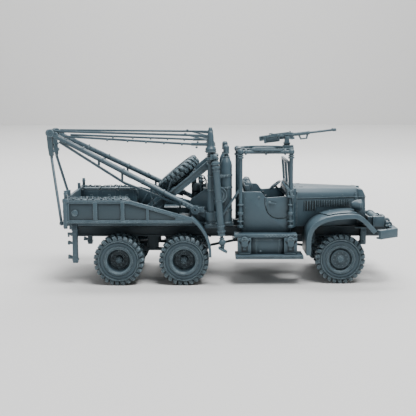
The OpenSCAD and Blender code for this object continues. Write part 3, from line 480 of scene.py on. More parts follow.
def backDisc(depth):  # the inner side of the twin pair
    section = ((1.2, 0.3), (1.9, 0.3), (1.9, 1.2), (3.1, 1.5), (3.45, 0.4), (3.68, 0.2), (3.74, 0.4), (3.6, 2.6),
               (1.2, 2.2))
    return turned([(r, z - depth) for r, z in section], "backDisc", 48)


tyre = makeTyre()
raised = makeRaisedRim()
dished = makeDishedRim()
twinDepth = 2 * wheel["width"] + wheel["twinGap"]
inner = backDisc(twinDepth)


def assembleWheel(name, place, twin, start):
    pieces = [copyOf(tyre, Matrix.Rotation(start, 4, "Z"))]
    if twin:
        shift = at(0, 0, -wheel["width"] - wheel["twinGap"])
        pieces += [copyOf(tyre, shift @ Matrix.Rotation(start + 0.1, 4, "Z")), copyOf(dished, Matrix()),
                   copyOf(inner, Matrix())]
    else:
        pieces.append(copyOf(raised, Matrix.Rotation(start * 0.5, 4, "Z")))
    whole = moved(joinAll(pieces, name), place)
    smooth(whole, 38)
    return whole


wheelSpots = {
    "wheel_front": (34.0, 14.4, False), "wheel_middle": (-10.15, 16.3, True), "wheel_rear": (-28.45, 16.3, True),
}
hubPaintedShades = []
for n, (stem, (x, faceY, twin)) in enumerate(wheelSpots.items()):
    for sideName, side in (("right", -1), ("left", 1)):
        node = stem + "_" + sideName
        spot = at(x, side * faceY, wheel["tyreR"]) @ turn(-90 * side, "X")
        piece = assembleWheel(node + "_tread", spot, twin, 0.05 + 0.09 * n)
        show(piece, bodyOf[node], "tread", (node,))
        if not twin:
            hubPaintedShades.append((node + "_hub_painted_shade", spot, bodyOf[node]))

spareTilt = turn(180, "Z") @ turn(39, "Y")
sparePlace = at(-3.4, 0, 33.3) @ spareTilt @ at(8.6, 0, 4.65)
show(assembleWheel("spare_wheel_tread", sparePlace, False, 0.12), bodyOf["spare_wheel"], "tread",
     stands=("spare_wheel",))
hubPaintedShades.append(("spare_wheel_hub_painted_shade", sparePlace, bodyOf["spare_wheel"]))
for name, spot, body in hubPaintedShades:  # a band of painted shade between the hub boss and the rim's edge
    band = turned([(1.16, -0.455), (2.28, -0.39), (2.28, -0.6), (1.16, -0.7)], name, 36)
    show(moved(band, spot), body, "under")
for shape in (tyre, raised, dished, inner):
    bpy.data.objects.remove(shape)
print("wheels ready")


def beam(a, b, width, height, bevel=0.04, name="beam"):  # a flat bar between two points, in millimetres
    a, b = Vector(a) * mm, Vector(b) * mm
    run = b - a
    bpy.ops.mesh.primitive_cube_add(size=1)
    obj = named(name)
    obj.scale = (run.length, width * mm, height * mm)
    settle(obj)
    forward = run.normalized()
    side = Vector((0, 0, 1)).cross(forward)
    side = Vector((0, 1, 0)) if side.length < 0.05 else side.normalized()
    aim = Matrix((forward, side, forward.cross(side))).transposed().to_4x4()
    obj.data.transform(Matrix.Translation((a + b) / 2) @ aim)
    return eased(obj, bevel)


def plate(outline, y0, y1, bevel, name):  # an outline of (x, z) points pushed across from y0 to y1, in millimetres
    bpy.ops.mesh.primitive_circle_add(vertices=len(outline), radius=1, fill_type="NGON")
    obj = named(name)
    for vert, (x, z) in zip(obj.data.vertices, outline):
        vert.co = Vector((x, y0, z)) * mm
    editMesh(obj)
    bpy.ops.mesh.extrude_region_move(TRANSFORM_OT_translate={"value": (0, (y1 - y0) * mm, 0)})
    closeMesh()
    return eased(obj, bevel)


trees = {}


def treeOf(node):
    if node not in trees:
        mesh = frame["nodes"][node].data
        trees[node] = BVHTree.FromPolygons([vert.co / mm for vert in mesh.vertices],
                                           [tuple(face.vertices) for face in mesh.polygons])
    return trees[node]


def skinY(node, x, z):  # where the right-hand skin of a CAD part is at this spot, in millimetres
    return treeOf(node).ray_cast(Vector((x, -50, z)), Vector((0, 1, 0)))[0].y


def stud(x, y, z, radius, height):  # a domed head on the right side face
    section = [(0, height), (radius * 0.6, height * 0.94), (radius, height * 0.5), (radius, -0.1), (0, -0.1)]
    return alongY(turned(section, "stud", 14), x, y, z)


def collarAt(x, y, z, inner, outer, height, name="collar", steps=32):  # an upright ring with eased rims
    half, lip = height / 2, 0.1
    section = [(inner, -half), (outer - lip, -half), (outer, lip - half), (outer, half - lip), (outer - lip, half),
               (inner, half)]
    return moved(turned(section, name, steps), at(x, y, z))


def bothSides(objs, name, material="body", stem=None):  # joins the right-hand pieces and mirrors them
    right = joinAll(objs, name + "_right")
    left = mirrored(right, name + "_left")
    if stem is None:
        smooth(left, 38)
    show(right, stem + "_right" if stem else "chassis", material)
    show(left, stem + "_left" if stem else "chassis", material)


# louvre rows as x from, x to, count, z from, z to
louvre = {"rows": ((24.4, 27.5, 5, 19.95, 22.85), (28.2, 37.6, 20, 21.1, 22.95)),
          "width": 0.2, "proud": 0.3, "lean": 7.9}
bits, dark = [], []
for x0, x1, count, z0, z1 in louvre["rows"]:
    middle, half = (z0 + z1) / 2, louvre["width"] / 2
    for n in range(count):
        x = x0 + (x1 - x0) * n / (count - 1)
        slat = rounded((-half, -louvre["proud"], z0), (half, 0.12, z1), 0.05, "louvre")
        bits.append(moved(slat, at(x, skinY("hood", x, middle), 0) @ turn(louvre["lean"], "Z")))
    ends = [(x + lap, skinY("hood", x, z0 + 1) - 0.02, middle) for x, lap in ((x0, -0.3), (x1, 0.3))]
    dark.append(beam(*ends, 0.1, z1 - z0 - 0.1, 0.03, "louvreBack"))
lipRear, lipFront = skinY("hood", 22.3, 23.55), skinY("hood", 39.5, 23.7)
bits += each(beam, [
    ((22.0, lipRear - 0.02, 23.6), (39.7, lipFront - 0.02, 23.8), 0.22, 0.24, 0.05, "hoodLip"),
    ((22.15, lipRear + 0.02, 16.2), (22.15, lipRear + 0.02, 25.6), 0.2, 0.26, 0.05, "cowlBead"),
    ((39.45, lipFront + 0.01, 17.4), (39.45, lipFront + 0.01, 25.1), 0.2, 0.3, 0.05, "frontBead"),
])
bits += [rounded((23.1, -4.4, 26.2), (24.2, -4.0, 26.62), 0.06, "hoodCatch"),
         rod((23.3, -4.2, 26.45), (24.4, -4.2, 26.2), 0.14, "hoodCatchBar")]
bits += [stud(x, skinY("hood", x, 24.25), 24.25, 0.16, 0.12) for x in (29.5, 35.5)]
dark += each(beam, [
    ((22.0, lipRear - 0.02, 23.4), (39.7, lipFront - 0.02, 23.6), 0.16, 0.16, 0.04, "lipShade"),
    ((21.85, lipRear + 0.02, 16.2), (21.85, lipRear + 0.02, 25.6), 0.12, 0.16, 0.04, "cowlShade"),
])
bothSides(bits, "hood_trim")
bothSides(dark, "hood_shade", "shadow")

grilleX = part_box("radiator_shell")[1].x / mm
bits = [rounded((grilleX - 0.42, y - 0.16, 18.6), (grilleX - 0.04, y + 0.16, 23.3), 0.06, "grilleBar")
        for y in [-4.2 + 8.4 * n / 11 for n in range(12)]]
bits += [rounded((grilleX - 0.45, -4.6, z - 0.12), (grilleX - 0.14, 4.6, z + 0.12), 0.05, "grilleTie")
         for z in (19.8, 22.0)]
cap = turned([(0, 0.62), (0.34, 0.6), (0.48, 0.46), (0.5, 0.26), (0.34, 0.2), (0.34, -0.6), (0, -0.6)],
             "radiatorCap", 28)
bits += [moved(cap, at(40.9, 0, 25.75)), beam((22.0, 0, 26.42), (39.8, 0, 26.0), 0.24, 0.2, 0.05, "hoodHinge")]
show(joinAll(bits, "grille_trim"))

skin, handleZ = skinY("cab_body", 15, 20), 22.8
bits = each(stud, [(14.1, skin, handleZ, 0.46, 0.36), (11.1, skin, 24.35, 0.36, 0.1),
                   (11.1, skin - 0.08, 24.35, 0.17, 0.12)])
bits.append(beam((13.8, skin - 0.4, handleZ + 0.05), (15.9, skin - 0.36, handleZ - 0.25),
                 0.28, 0.42, 0.1, "doorHandle"))
bits += [stud(x, skin, z, 0.13, 0.09) for z, x in ((18.6, 18.2), (19.6, 18.2), (18.6, 7.2), (24.0, 7.2), (21.3, 7.2))]
bothSides(bits, "cab_trim")
seam = ((12.7, 24.1), (12.72, 22.4), (13.1, 20.75), (13.95, 19.4), (15.1, 18.55), (16.6, 18.27), (17.8, 18.35),
        (19.2, 18.7))
bits = [beam((a[0], skin, a[1]), (b[0], skin, b[1]), 0.12, 0.16, 0.03, "doorSeam") for a, b in zip(seam, seam[1:])]
bothSides(bits, "door_seam", "shadow")
bits = each(rounded, [((19.0, -12.5, 24.4), (20.9, -11.4, 25.0), 0.1, "clampLow"),
                      ((19.1, -12.4, 26.1), (20.8, -11.4, 26.6), 0.1, "clampHigh")])
bits += each(rod, [
    ((19.3, -12.3, 24.6), (18.9, -11.9, 27.9), 0.19, "mirrorArm"),
    ((20.6, -12.4, 22.8), (20.0, -12.5, 26.4), 0.17, "clampScrew"),
    ((20.0, -12.45, 26.3), (21.0, -12.2, 22.9), 0.15, "clampStay"),
    ((18.9, -11.9, 27.0), (17.4, -11.5, 29.0), 0.3, "toolHandle", 20, 0.14),
    ((19.2, -12.1, 27.2), (20.2, -12.2, 24.9), 0.24, "clampHandle"),
])
bits.append(stud(20.0, -12.35, 25.5, 0.42, 0.22))
for x in (5.8, 20.0):  # the gun ring's posts stand on the right side only
    for z, r, h in ((17.6, 0.92, 0.42), (20.0, 0.86, 0.34), (22.3, 0.84, 0.4), (36.2, 0.86, 0.36)):
        bits.append(collarAt(x, -11.57, z, 0.5, r, h, "postCollar", steps=28))
show(joinAll(bits, "cab_clamp"))
print("nose and cab trim")

bits = []
step, count = 0.74, 25
for n in range(count):  # crossed tread bars along the edge and the top of the running board
    x = 4.5 + n * step
    for z0, z1 in ((7.82, 8.58), (8.58, 7.82)):
        bits.append(beam((x, -17.0, z0), (x + step, -17.0, z1), 0.4, 0.16, 0.04, "treadBar"))
for n in range(10):
    x = 12.4 + n * 0.9
    for x0, z0, z1 in ((x, 13.66, 14.24), (x + 0.45, 14.24, 13.66)):
        bits.append(beam((x0, -15.02, z0), (x0 + 0.45, -15.02, z1), 0.16, 0.2, 0.04, "stepTread"))
bothSides(bits, "board_tread")

skin = skinY("step_boxes", 5.4, 10)
bits, grooves = [], []
for x in (6.85, 19.75):
    boss = turned([(0, 0.34), (0.3, 0.34), (0.42, 0.22), (0.62, 0.24), (0.72, 0.38), (0.95, 0.36), (1.05, 0.18),
                   (1.08, -0.1), (0, -0.1)], "capBoss", 28)
    bits += [alongY(boss, x, skin, 12.75),
             beam((x - 0.8, skin - 0.42, 12.95), (x + 0.75, skin - 0.42, 13.15), 0.22, 0.22, 0.06, "capGrip")]
    for x0, z0, x1, z1 in ((-1.5, 12.6, -0.85, 11.55), (1.5, 12.6, 0.85, 11.55), (-0.95, 11.5, 0.95, 11.5)):
        grooves.append(beam((x + x0, skin, z0), (x + x1, skin, z1), 0.14, 0.3, 0.04, "strapRun"))
    for x0, x1, z0, z1 in ((-0.85, 0.85, 10.95, 11.2), (-0.85, 0.85, 9.55, 9.8), (-0.85, -0.58, 9.6, 11.2),
                           (0.58, 0.85, 9.6, 11.2)):
        grooves.append(rounded((x + x0, skin - 0.07, z0), (x + x1, skin + 0.1, z1), 0.03, "plateEdge"))
    for x0, x1, z0, z1, out, bevel, name in ((-0.3, 0.3, 10.0, 10.6, 0.2, 0.08, "plateMiddle"),
                                             (-1.55, 1.55, 8.75, 9.05, 0.12, 0.06, "boxFoot"),
                                             (1.0, 1.75, 12.7, 13.3, 0.3, 0.12, "strapLug")):
        bits.append(rounded((x + x0, skin - out, z0), (x + x1, skin + 0.1, z1), bevel, name))
skin = skinY("fuel_tanks", 12, 11)
bits += [stud(11.4, skin, 9.3, 0.42, 0.34),
         beam((9.4, skin - 0.04, 12.7), (17.4, skin - 0.04, 12.7), 0.16, 0.2, 0.05, "tankSeam")]
bits += [rounded((x, skin - 0.12, 8.8), (x + 0.5, skin + 0.1, 12.9), 0.08, "tankBand") for x in (9.9, 16.4)]
bothSides(bits, "box_trim")
bothSides(grooves, "box_grooves", "shadow")
print("steps and boxes")


def chainRun(points, size, name="chainLink"):  # oval links along a line of points, each turned a quarter from the last
    link = turned(loop(size * 0.55, size * 0.2, 6), name, 10)
    link.data.transform(Matrix.Diagonal((1.35, 0.9, 1, 1)))
    links = []
    for a, b in zip(points, points[1:]):
        a, b = Vector(a), Vector(b)
        count = max(1, round((b - a).length / (size * 1.15)))
        for k in range(count):
            spot = Matrix.Translation((a + (b - a) * (k + 0.5) / count) * mm)
            links.append(copyOf(link, spot @ aimed((1, 0, 0), b - a) @ turn(90 * (k % 2) + 20, "X")))
    bpy.data.objects.remove(link)
    return links


bits = [stud(x, -17.15, 18.12, 0.2, 0.16) for x in (-36.3, -26.4, -25.2, -22.9, -39.6, -31.0, -20.3, -17.6)]
boss = turned([(0, 0.02), (0.34, 0.04), (0.42, 0.2), (0.62, 0.36), (0.86, 0.3), (0.98, 0.1), (1.0, -0.2), (0, -0.2)],
              "bedBoss", 32)
bits.append(alongY(boss, -40.2, -16.84, 20.75))
bits += each(beam, [
    ((-42.4, -17.1, 24.05), (-27.0, -17.1, 24.05), 0.42, 0.5, 0.14, "topRail"),
    ((-27.0, -17.1, 24.05), (-9.8, -17.1, 19.3), 0.42, 0.5, 0.14, "slopeRail"),
    ((-42.4, -17.12, 18.25), (-10.4, -17.12, 18.25), 0.36, 0.5, 0.12, "lowRail"),
])
bits.append(rod((-42.7, -16.4, 24.6), (-42.7, -16.4, 27.0), 0.46, "stakePin"))
bits += each(rounded, [
    ((-43.32, -17.42, 17.0), (-42.26, -16.2, 24.5), 0.14, "tailStake"),
    ((-43.5, -17.5, 23.7), (-41.8, -15.8, 24.75), 0.16, "stakeCap"),
    ((-35.1, -17.3, 18.4), (-33.9, -16.75, 24.0), 0.12, "midStake"),
    ((-27.5, -17.3, 18.4), (-26.5, -16.75, 24.0), 0.12, "foreStake"),
    ((-43.3, -16.9, 16.3), (-42.4, -15.9, 17.4), 0.12, "hingeFoot"),
    ((-43.2, -16.9, 25.9), (-42.2, -15.9, 26.4), 0.1, "stakePinHead"),
])
for n in range(3):  # lids of the side lockers, with their hinges, doors and latches
    x = -42.1 + n * 5.5
    bits += each(rounded, [
        ((x, -16.4, 24.1), (x + 5.2, -10.7, 24.45), 0.1, "lockerLid"),
        ((x + 1.2, -16.55, 24.2), (x + 1.9, -16.1, 24.75), 0.1, "lidHinge"),
        ((x + 3.4, -16.55, 24.2), (x + 4.1, -16.1, 24.75), 0.1, "lidHinge"),
        ((x + 0.5, -10.75, 21.0), (x + 4.7, -10.3, 23.6), 0.08, "lockerDoor"),
        ((x + 2.3, -10.4, 22.0), (x + 3.0, -10.05, 22.5), 0.08, "lockerLatch"),
    ])
bits += chainRun([(-41.6, -15.2, 24.62), (-36.8, -13.2, 24.62), (-32.0, -15.2, 24.62), (-27.6, -12.6, 24.62),
                  (-26.2, -11.6, 24.4), (-25.4, -11.2, 23.0), (-25.3, -11.3, 21.4)], 0.75)
bits += each(rod, [
    ((-24.6, -13.9, 18.9), (-21.9, -13.9, 23.0), 0.2, "deckStay"),
    ((-21.9, -13.9, 23.0), (-20.6, -13.9, 18.9), 0.2, "deckStay"),
    ((-24.6, -11.6, 18.9), (-21.9, -11.6, 22.6), 0.2, "deckStay"),
])
bothSides(bits, "bed_trim")
# painted shade: a darker sheet over the recessed panels of the bed side
panelShade = plate([(-42.2, 18.3), (-10.9, 18.3), (-10.9, 19.1), (-26.5, 23.75), (-42.2, 23.75)],
              -16.89, -16.6, 0.02, "bedPanelShade")
bothSides([panelShade], "bed_panel_shade", "recess")

bits = [rounded((-42.1, y - 1.0, 16.75), (-8.6, y + 1.0, 16.95), 0.05, "bedPlank")
        for y in [-8.8 + n * 2.2 for n in range(9)]]
bits += [rounded((x - 0.3, -9.7, 16.8), (x + 0.3, 9.7, 17.06), 0.06, "bedStrip")
         for x in [-41.0 + n * 6 for n in range(6)]]
show(joinAll(bits, "bed_planks"))

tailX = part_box("tailboard")[0].x / mm
bits = [rounded((tailX - 0.16, y - 0.35, 18.2), (tailX + 0.2, y + 0.35, 24.5), 0.08, "tailRib")
        for y in (-13.5, -9.0, -4.5, 0, 4.5, 9.0, 13.5)]
bits += [rounded((tailX - 0.12, -16.9, z - 0.24), (tailX + 0.2, 16.9, z + 0.24), 0.08, "tailRail")
         for z in (18.6, 21.2, 24.2)]
for y in (-15.2, 15.2):
    lamp = turned([(0, 0.32), (0.5, 0.26), (0.62, 0.06), (0.78, 0.1), (0.8, -0.2), (0, -0.2)], "tailLamp", 24)
    bits.append(moved(lamp, at(tailX, y, 19.9) @ turn(-90, "Y")))
show(joinAll(bits, "tailboard_trim"))

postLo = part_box("tow_posts")[0] / mm
x, y = postLo.x, postLo.y
bits = []
for z in (7.9, 11.9, 14.1):
    bits += each(rod, [((x + 0.2, y + 0.8, z + 0.5), (x + 1.3, y + 0.8, z), 0.3, "hookArm"),
                       ((x + 0.3, y + 0.8, z - 0.5), (x + 0.25, y + 0.8, z + 0.65), 0.26, "hookTip")])
for z0, z1, name in ((6.9, 7.5, "postShoe"), (15.4, 16.1, "postBand")):
    bits.append(rounded((x + 1.25, y - 0.02, z0), (x + 2.95, y + 1.75, z1), 0.1, name))
bits += [stud(x + 2.1, y, z, 0.3, 0.02) for z in (8.6, 14.6)]
bothSides(bits, "tow_post_trim")
print("bed")


mast = {"x": -2.6, "y": -12.6, "slope": 0.4993, "turn": 10.73,
        "eyeR": 4.27, "eyeZ": 21.0, "headR": 46.73, "headZ": 42.2}
# x grows from the right-hand mast towards its boom head; y is across the boom
boomPlace = at(mast["x"], mast["y"], 0) @ turn(180 - mast["turn"], "Z")


def alongBoom(share):
    r = mast["eyeR"] + share * (mast["headR"] - mast["eyeR"])
    return r, mast["eyeZ"] + mast["slope"] * (r - mast["eyeR"])


def grooved(radius, width, name="sheave"):  # a pulley lying across the boom
    half, floor = width / 2, radius - 0.28
    return turned([(0.2, half), (radius - 0.1, half), (radius, half - 0.08), (floor, 0.05), (floor, -0.05),
                   (radius, 0.08 - half), (radius - 0.1, -half), (0.2, -half)], name, 28)


def across(obj, r, y, z):  # lays a shape made about z across the boom at this spot
    return moved(obj, at(r, y, z) @ turn(90, "X"))


bits = []
along = Vector((1, 0, mast["slope"])).normalized()
for share in (0.10, 0.22, 0.36, 0.50, 0.64, 0.78, 0.90):
    r, z = alongBoom(share)
    middle = Vector((r, 0, z))
    bits.append(rod(middle - along * 0.22, middle + along * 0.22, 0.9, "boomBand", 24, 0.08))
    for side in (-1, 1):
        rivet = turned([(0, 0.16), (0.13, 0.14), (0.17, 0), (0.17, -0.2), (0, -0.2)], "boomRivet", 10)
        bits.append(across(rivet, r, -0.86, z))
for n in range(22):
    r, z = alongBoom(0.13 + 0.74 * n / 21)
    bits.append(rod((r, -0.62, z + 0.42), (r, -0.84, z + 0.5), 0.12, "boomBead", 8, 0.03))
r, z = alongBoom(0)
for y in (-1.02, 1.02):
    eye = turned([(0.35, 0.16), (0.62, 0.2), (0.78, 0.06), (0.95, 0.06), (1.12, 0.16), (1.2, 0), (1.2, -0.12),
                  (0.35, -0.12)], "eyeRing", 28)
    bits += [across(eye, r, y, z),
             beam((r - 2.6, y * 0.8, z + 0.1), (r - 0.6, y * 0.8, z + 0.05), 0.3, 1.5, 0.1, "eyeCheek"),
             beam((r + 0.7, y * 0.86, z + 0.35), (r + 3.6, y * 0.86, z + 1.8), 0.26, 1.1, 0.1, "eyeStrap")]
    for k in (1.2, 2.2, 3.2):
        bolt = turned([(0, 0.2), (0.16, 0.18), (0.2, 0), (0.2, -0.2), (0, -0.2)], "strapBolt", 10)
        bits.append(across(bolt, r + k, y * 0.95, z + 0.5 * k))
r, z = mast["headR"], mast["headZ"]
for reach, y, radius in ((0, 0.92, 1.12), (0, -0.92, 1.12), (-1.5, 0.7, 0.8), (-1.5, -0.7, 0.8)):
    bits.append(across(grooved(radius, 0.34), r + reach, y, z + reach * 0.3))
bits += [beam((r - 4.6, y, z - 2.6), (r - 0.3, y, z - 0.4), 0.24, 1.0, 0.1, "headStrap") for y in (0.78, -0.78)]
pin = turned([(0, 0.2), (0.3, 0.18), (0.4, 0), (0.4, -0.2), (0, -0.2)], "blockPin", 14)
bits += [across(grooved(0.55, 0.9, "blockSheave"), r - 0.2, 0, z - 5.2), across(pin, r - 0.2, -0.75, z - 3.4)]
bothSides([moved(piece, boomPlace) for piece in bits], "boom_trim", stem="boom")

bits = []
for reach in (8.2, 13.4, 18.6, 24.0, 30.0):  # clips under the lowest line
    x, y, z = boomPlace @ (Vector((reach, 0, 0)) * mm) / mm
    z = treeOf("boom_lines_right").ray_cast(Vector((x, y, 20)), Vector((0, 0, 1)))[0].z
    bits.append(rounded((x - 0.24, y - 0.42, z - 0.24), (x + 0.24, y + 0.42, z + 0.5), 0.1, "lineClip"))
bits += each(rod, [((-48.62, -3.88, 36.3), (-48.69, -3.9, 34.9), 0.44, "lineSocket", 20, 0.1),
                   ((-48.69, -4.4, 35.25), (-48.69, -3.4, 35.25), 0.2, "socketPin", 12, 0.05)])
straps = each(beam, [((7.2, 0, 42.12), (0.9, 0, 40.5), 0.5, 0.42, 0.08, "lineStrap"),
                     ((7.2, 0, 42.12), (0.8, 0, 41.3), 0.5, 0.42, 0.08, "lineStrap")])
straps += each(rod, [((7.2, -0.45, 42.12), (7.2, 0.45, 42.12), 0.4, "strapPin", 16, 0.08),
                     ((4.0, -0.42, 38.55), (4.0, 0.42, 38.55), 0.3, "strapPin", 16, 0.08)])
bothSides(bits + [moved(piece, boomPlace) for piece in straps], "line_clips", stem="boom")
print("booms")

x, y = mast["x"], mast["y"]
bits = [collarAt(x, y, z, 0.5, r, h, "mastCollar")
        for z, r, h in ((17.0, 1.95, 0.5), (18.0, 1.35, 0.5), (26.6, 1.08, 0.4), (30.6, 1.08, 0.4), (33.9, 1.2, 0.6),
                        (35.5, 1.5, 0.7), (36.5, 1.2, 0.3))]
for k in range(6):
    a = math.radians(60 * k + 30)
    boltX, boltY = x + 1.6 * math.cos(a), y + 1.6 * math.sin(a)
    bits.append(rod((boltX, boltY, 17.0), (boltX, boltY, 17.55), 0.2, "flangeBolt", 6, 0.04))
bits.append(rounded((x + 0.5, -13.1, 30.2), (x + 4.0, -12.6, 30.7), 0.1, "bottleStay"))
x, y, r = 1.8, -9.0, 1.7  # the gas cylinder
for z in (20.5, 27.0, 30.45):
    bits += [collarAt(x, y, z, 1.2, r + 0.14, 0.55, "bottleBand"),
             rounded((x - 0.3, y - 2.25, z - 0.26), (x + 0.3, y - 1.6, z + 0.26), 0.1, "bandClasp")]
bits += each(collarAt, [(x, y, 35.6, 0.4, 0.95, 0.4, "bottleNeck"), (x, y, 36.7, 0.4, 1.0, 0.24, "capRim"),
                        (x, y, 17.0, 0.9, r + 0.22, 0.5, "bottleFoot")])
bits += [alongY(turned(loop(r, 0.2, 8), "discHoop", 40), -0.5, -11.55, 25.0) for r in (2.34, 1.5)]
bits.append(stud(-0.5, -11.5, 25.0, 0.62, 0.34))
bothSides(bits, "mast_trim")

bits = []
for y0, y1 in ((-6.9, -2.3), (-1.5, 1.5), (2.3, 6.9)):  # cable on the two crane drums
    turns = int((y1 - y0) / 0.5)
    for x in (-6.6, -3.0):
        bits += [alongY(turned(loop(1.32, 0.24, 6), "cableLay", 20), x, y0 + (k + 0.5) * (y1 - y0) / turns, 21.8, 1)
                 for k in range(turns)]
for y, x, z in ((-4.2, -4.85, 28.2), (4.0, -5.2, 28.0)):
    wheelRim = turned(loop(1.0, 0.17, 8), "handRim", 28)
    hub = turned([(0, 0.2), (0.22, 0.16), (0.26, -0.2), (0, -0.2)], "handHub", 12)
    spokes = each(beam, [((-1, 0, 0), (1, 0, 0), 0.16, 0.16, 0.04, "spoke"),
                         ((0, -1, 0), (0, 1, 0), 0.16, 0.16, 0.04, "spoke")])
    bits += [moved(piece, at(x, y, z) @ turn(72, "X")) for piece in [wheelRim, hub] + spokes]
    bits.append(rod((x, y, z), (x - 0.2, y + 0.9, 25.4), 0.2, "handStem"))
bits += each(rounded, [
    ((-8.2, -1.9, 24.6), (-5.6, 1.9, 27.2), 0.3, "gearTop"),
    ((-7.9, -4.6, 25.2), (-6.5, -2.0, 27.6), 0.3, "valveChest"),
    ((-9.0, -6.9, 17.0), (-8.2, 6.9, 18.4), 0.14, "winchFoot"),
    ((-4.0, -7.9, 26.0), (-1.0, 7.9, 26.45), 0.12, "winchTie"),
])
bits += each(rod, [
    ((-7.2, -3.4, 27.4), (-7.2, -3.4, 29.0), 0.5, "filterBowl", 20, 0.15),
    ((-7.9, 2.6, 25.4), (-7.9, 2.6, 28.4), 0.42, "brakeCan", 20, 0.15),
    ((-8.6, -5.6, 18.2), (-7.0, -5.6, 25.0), 0.2, "winchRod"),
    ((-8.6, 5.6, 18.2), (-7.0, 5.6, 25.0), 0.2, "winchRod"),
])
# painted shade: the crane winch's details in the darker plastic
show(joinAll(bits, "winch_trim"), material="under")

bits = each(rod, [
    ((-17.3, -9.3, 18.4), (-13.7, -9.6, 29.3), 0.2, "spareStay"),
    ((-21.3, -9.4, 18.6), (-19.3, -9.4, 23.9), 0.2, "deckRod"),
    ((-19.3, -9.4, 23.9), (-17.6, -9.4, 18.6), 0.2, "deckRod"),
    ((-12.2, -9.6, 18.4), (-11.2, -9.5, 21.6), 0.22, "deckRod"),
])
bits += [rounded((x0, -9.9, 17.8), (x1, -8.9, 18.6), 0.1, "rodFoot") for x0, x1 in ((-21.6, -20.8), (-17.8, -16.9))]
# painted shade: the bed rods in the darker plastic
bothSides(bits, "bed_rods", "under")
print("mast and winch")

legTop, legFoot = Vector((-1.4, -14.5, 36.0)), Vector((0.7, -17.8, 10.6))


def legPoint(z):
    return legTop + (legTop.z - z) / (legTop.z - legFoot.z) * (legFoot - legTop)


bits = [rod(legPoint(z + h / 2), legPoint(z - h / 2), r, "legCollar", 28, 0.08)
        for z, r, h in ((33.15, 1.2, 0.55), (32.1, 1.12, 0.3), (24.0, 1.08, 0.3), (17.0, 1.14, 0.4), (15.6, 1.2, 0.5),
                        (14.6, 1.05, 0.4), (13.7, 0.72, 0.4))]
bits.append(rod(legPoint(12.0), legPoint(11.2), 0.62, "legNeck", 20, 0.1))
for x, z in ((-0.25, 10.7), (1.65, 9.7)):
    bits.append(rounded((x - 0.16, -18.6, z), (x + 0.16, -17.0, z + 0.75), 0.06, "footRib"))
bothSides(bits, "outrigger_trim", stem="outrigger")
print("outriggers")

gunPlace = at(19.3, -5.0, 40.7) @ turn(-6.6, "Y")
bits = each(rounded, [
    ((-5.9, -0.72, -0.14), (-0.9, 0.72, 0.35), 0.1, "receiverLow"),
    ((-5.6, -0.68, 0.7), (1.7, 0.68, 1.1), 0.1, "receiverRib"),
    ((-4.4, -0.5, 1.4), (0.8, 0.5, 1.74), 0.12, "feedCover"),
    ((-2.6, -1.0, 0.5), (-1.1, -0.5, 1.3), 0.1, "feedMouth"),
    ((-6.7, -0.6, 0.2), (-6.3, 0.6, 1.5), 0.08, "backPlate"),
    ((0.9, -0.3, 1.45), (1.3, 0.3, 1.95), 0.08, "rearSight"),
    ((13.0, -0.14, 0.9), (13.4, 0.14, 1.33), 0.06, "foreSight"),
    ((0.9, -0.62, -0.5), (2.2, 0.62, 0.1), 0.12, "mountPad"),
    ((-6.5, -0.62, -0.7), (-2.3, 0.62, -0.1), 0.12, "feedTray"),
    ((-6.6, -0.8, -0.75), (-6.1, 0.8, 1.3), 0.1, "rearFrame"),
    ((-2.6, -0.85, -0.6), (-2.1, 0.85, 1.5), 0.1, "sideBand"),
    ((-5.0, -0.35, 1.6), (-3.9, 0.35, 1.95), 0.12, "coverLatch"),
])
for y in (-0.45, 0.45):
    bits += [rod((-6.6, y, z), (-7.8, y, z - 0.1), 0.2, "spadeGrip") for z in (0.3, 1.3)]
    bits.append(rod((-7.7, y, 0.1), (-7.7, y, 1.3), 0.22, "spadeHandle"))
bits += [rod((-1.6, -0.6, 0.9), (-1.6, -1.1, 0.9), 0.18, "chargeHandle"),
         rod((-0.5, -0.9, 0.3), (1.6, -0.9, -0.4), 0.2, "latchRod", 14, 0.06)]
for n in range(7):
    x = 2.3 + n * 0.6
    for degrees in (45, 135, 225, 315):
        y, z = math.cos(math.radians(degrees)), math.sin(math.radians(degrees))
        bits.append(rod((x, 0.42 * y, 0.8 + 0.42 * z), (x, 0.58 * y, 0.8 + 0.58 * z), 0.16, "jacketRing", 8, 0.03))
for x, r, h in ((2.0, 0.6, 0.15), (6.5, 0.56, 0.15), (9.6, 0.42, 0.12), (13.8, 0.50, 0.15)):
    band = turned([(0.2, -h), (r - 0.05, -h), (r, 0), (r - 0.05, h), (0.2, h)], "barrelBand", 20)
    bits.append(moved(band, at(x, 0, 0.8) @ turn(90, "Y")))
show(moved(joinAll(bits, "gun_trim"), gunPlace), "gun")
# painted shade: darker plates over the gun's side recesses
bits = each(rounded, [((-5.9, -0.74, -0.35), (-2.8, 0.74, 0.6), 0.05, "sideRecess"),
                      ((-1.4, -0.7, 0.1), (0.6, 0.7, 0.6), 0.05, "sideRecess")])
show(moved(joinAll(bits, "gun_shade"), gunPlace), "gun", "recess")

bits = [rounded((18.35, y, 39.0), (20.25, y + 0.45, 39.5), 0.1, "cradleFoot") for y in (-6.0, -4.45)]
bits += [rod((19.3, y, 40.7), (19.3, y + 0.3, 40.7), 0.42, "trunnionCap") for y in (-6.25, -4.05)]
show(joinAll(bits, "cradle_trim"), "gun_cradle")

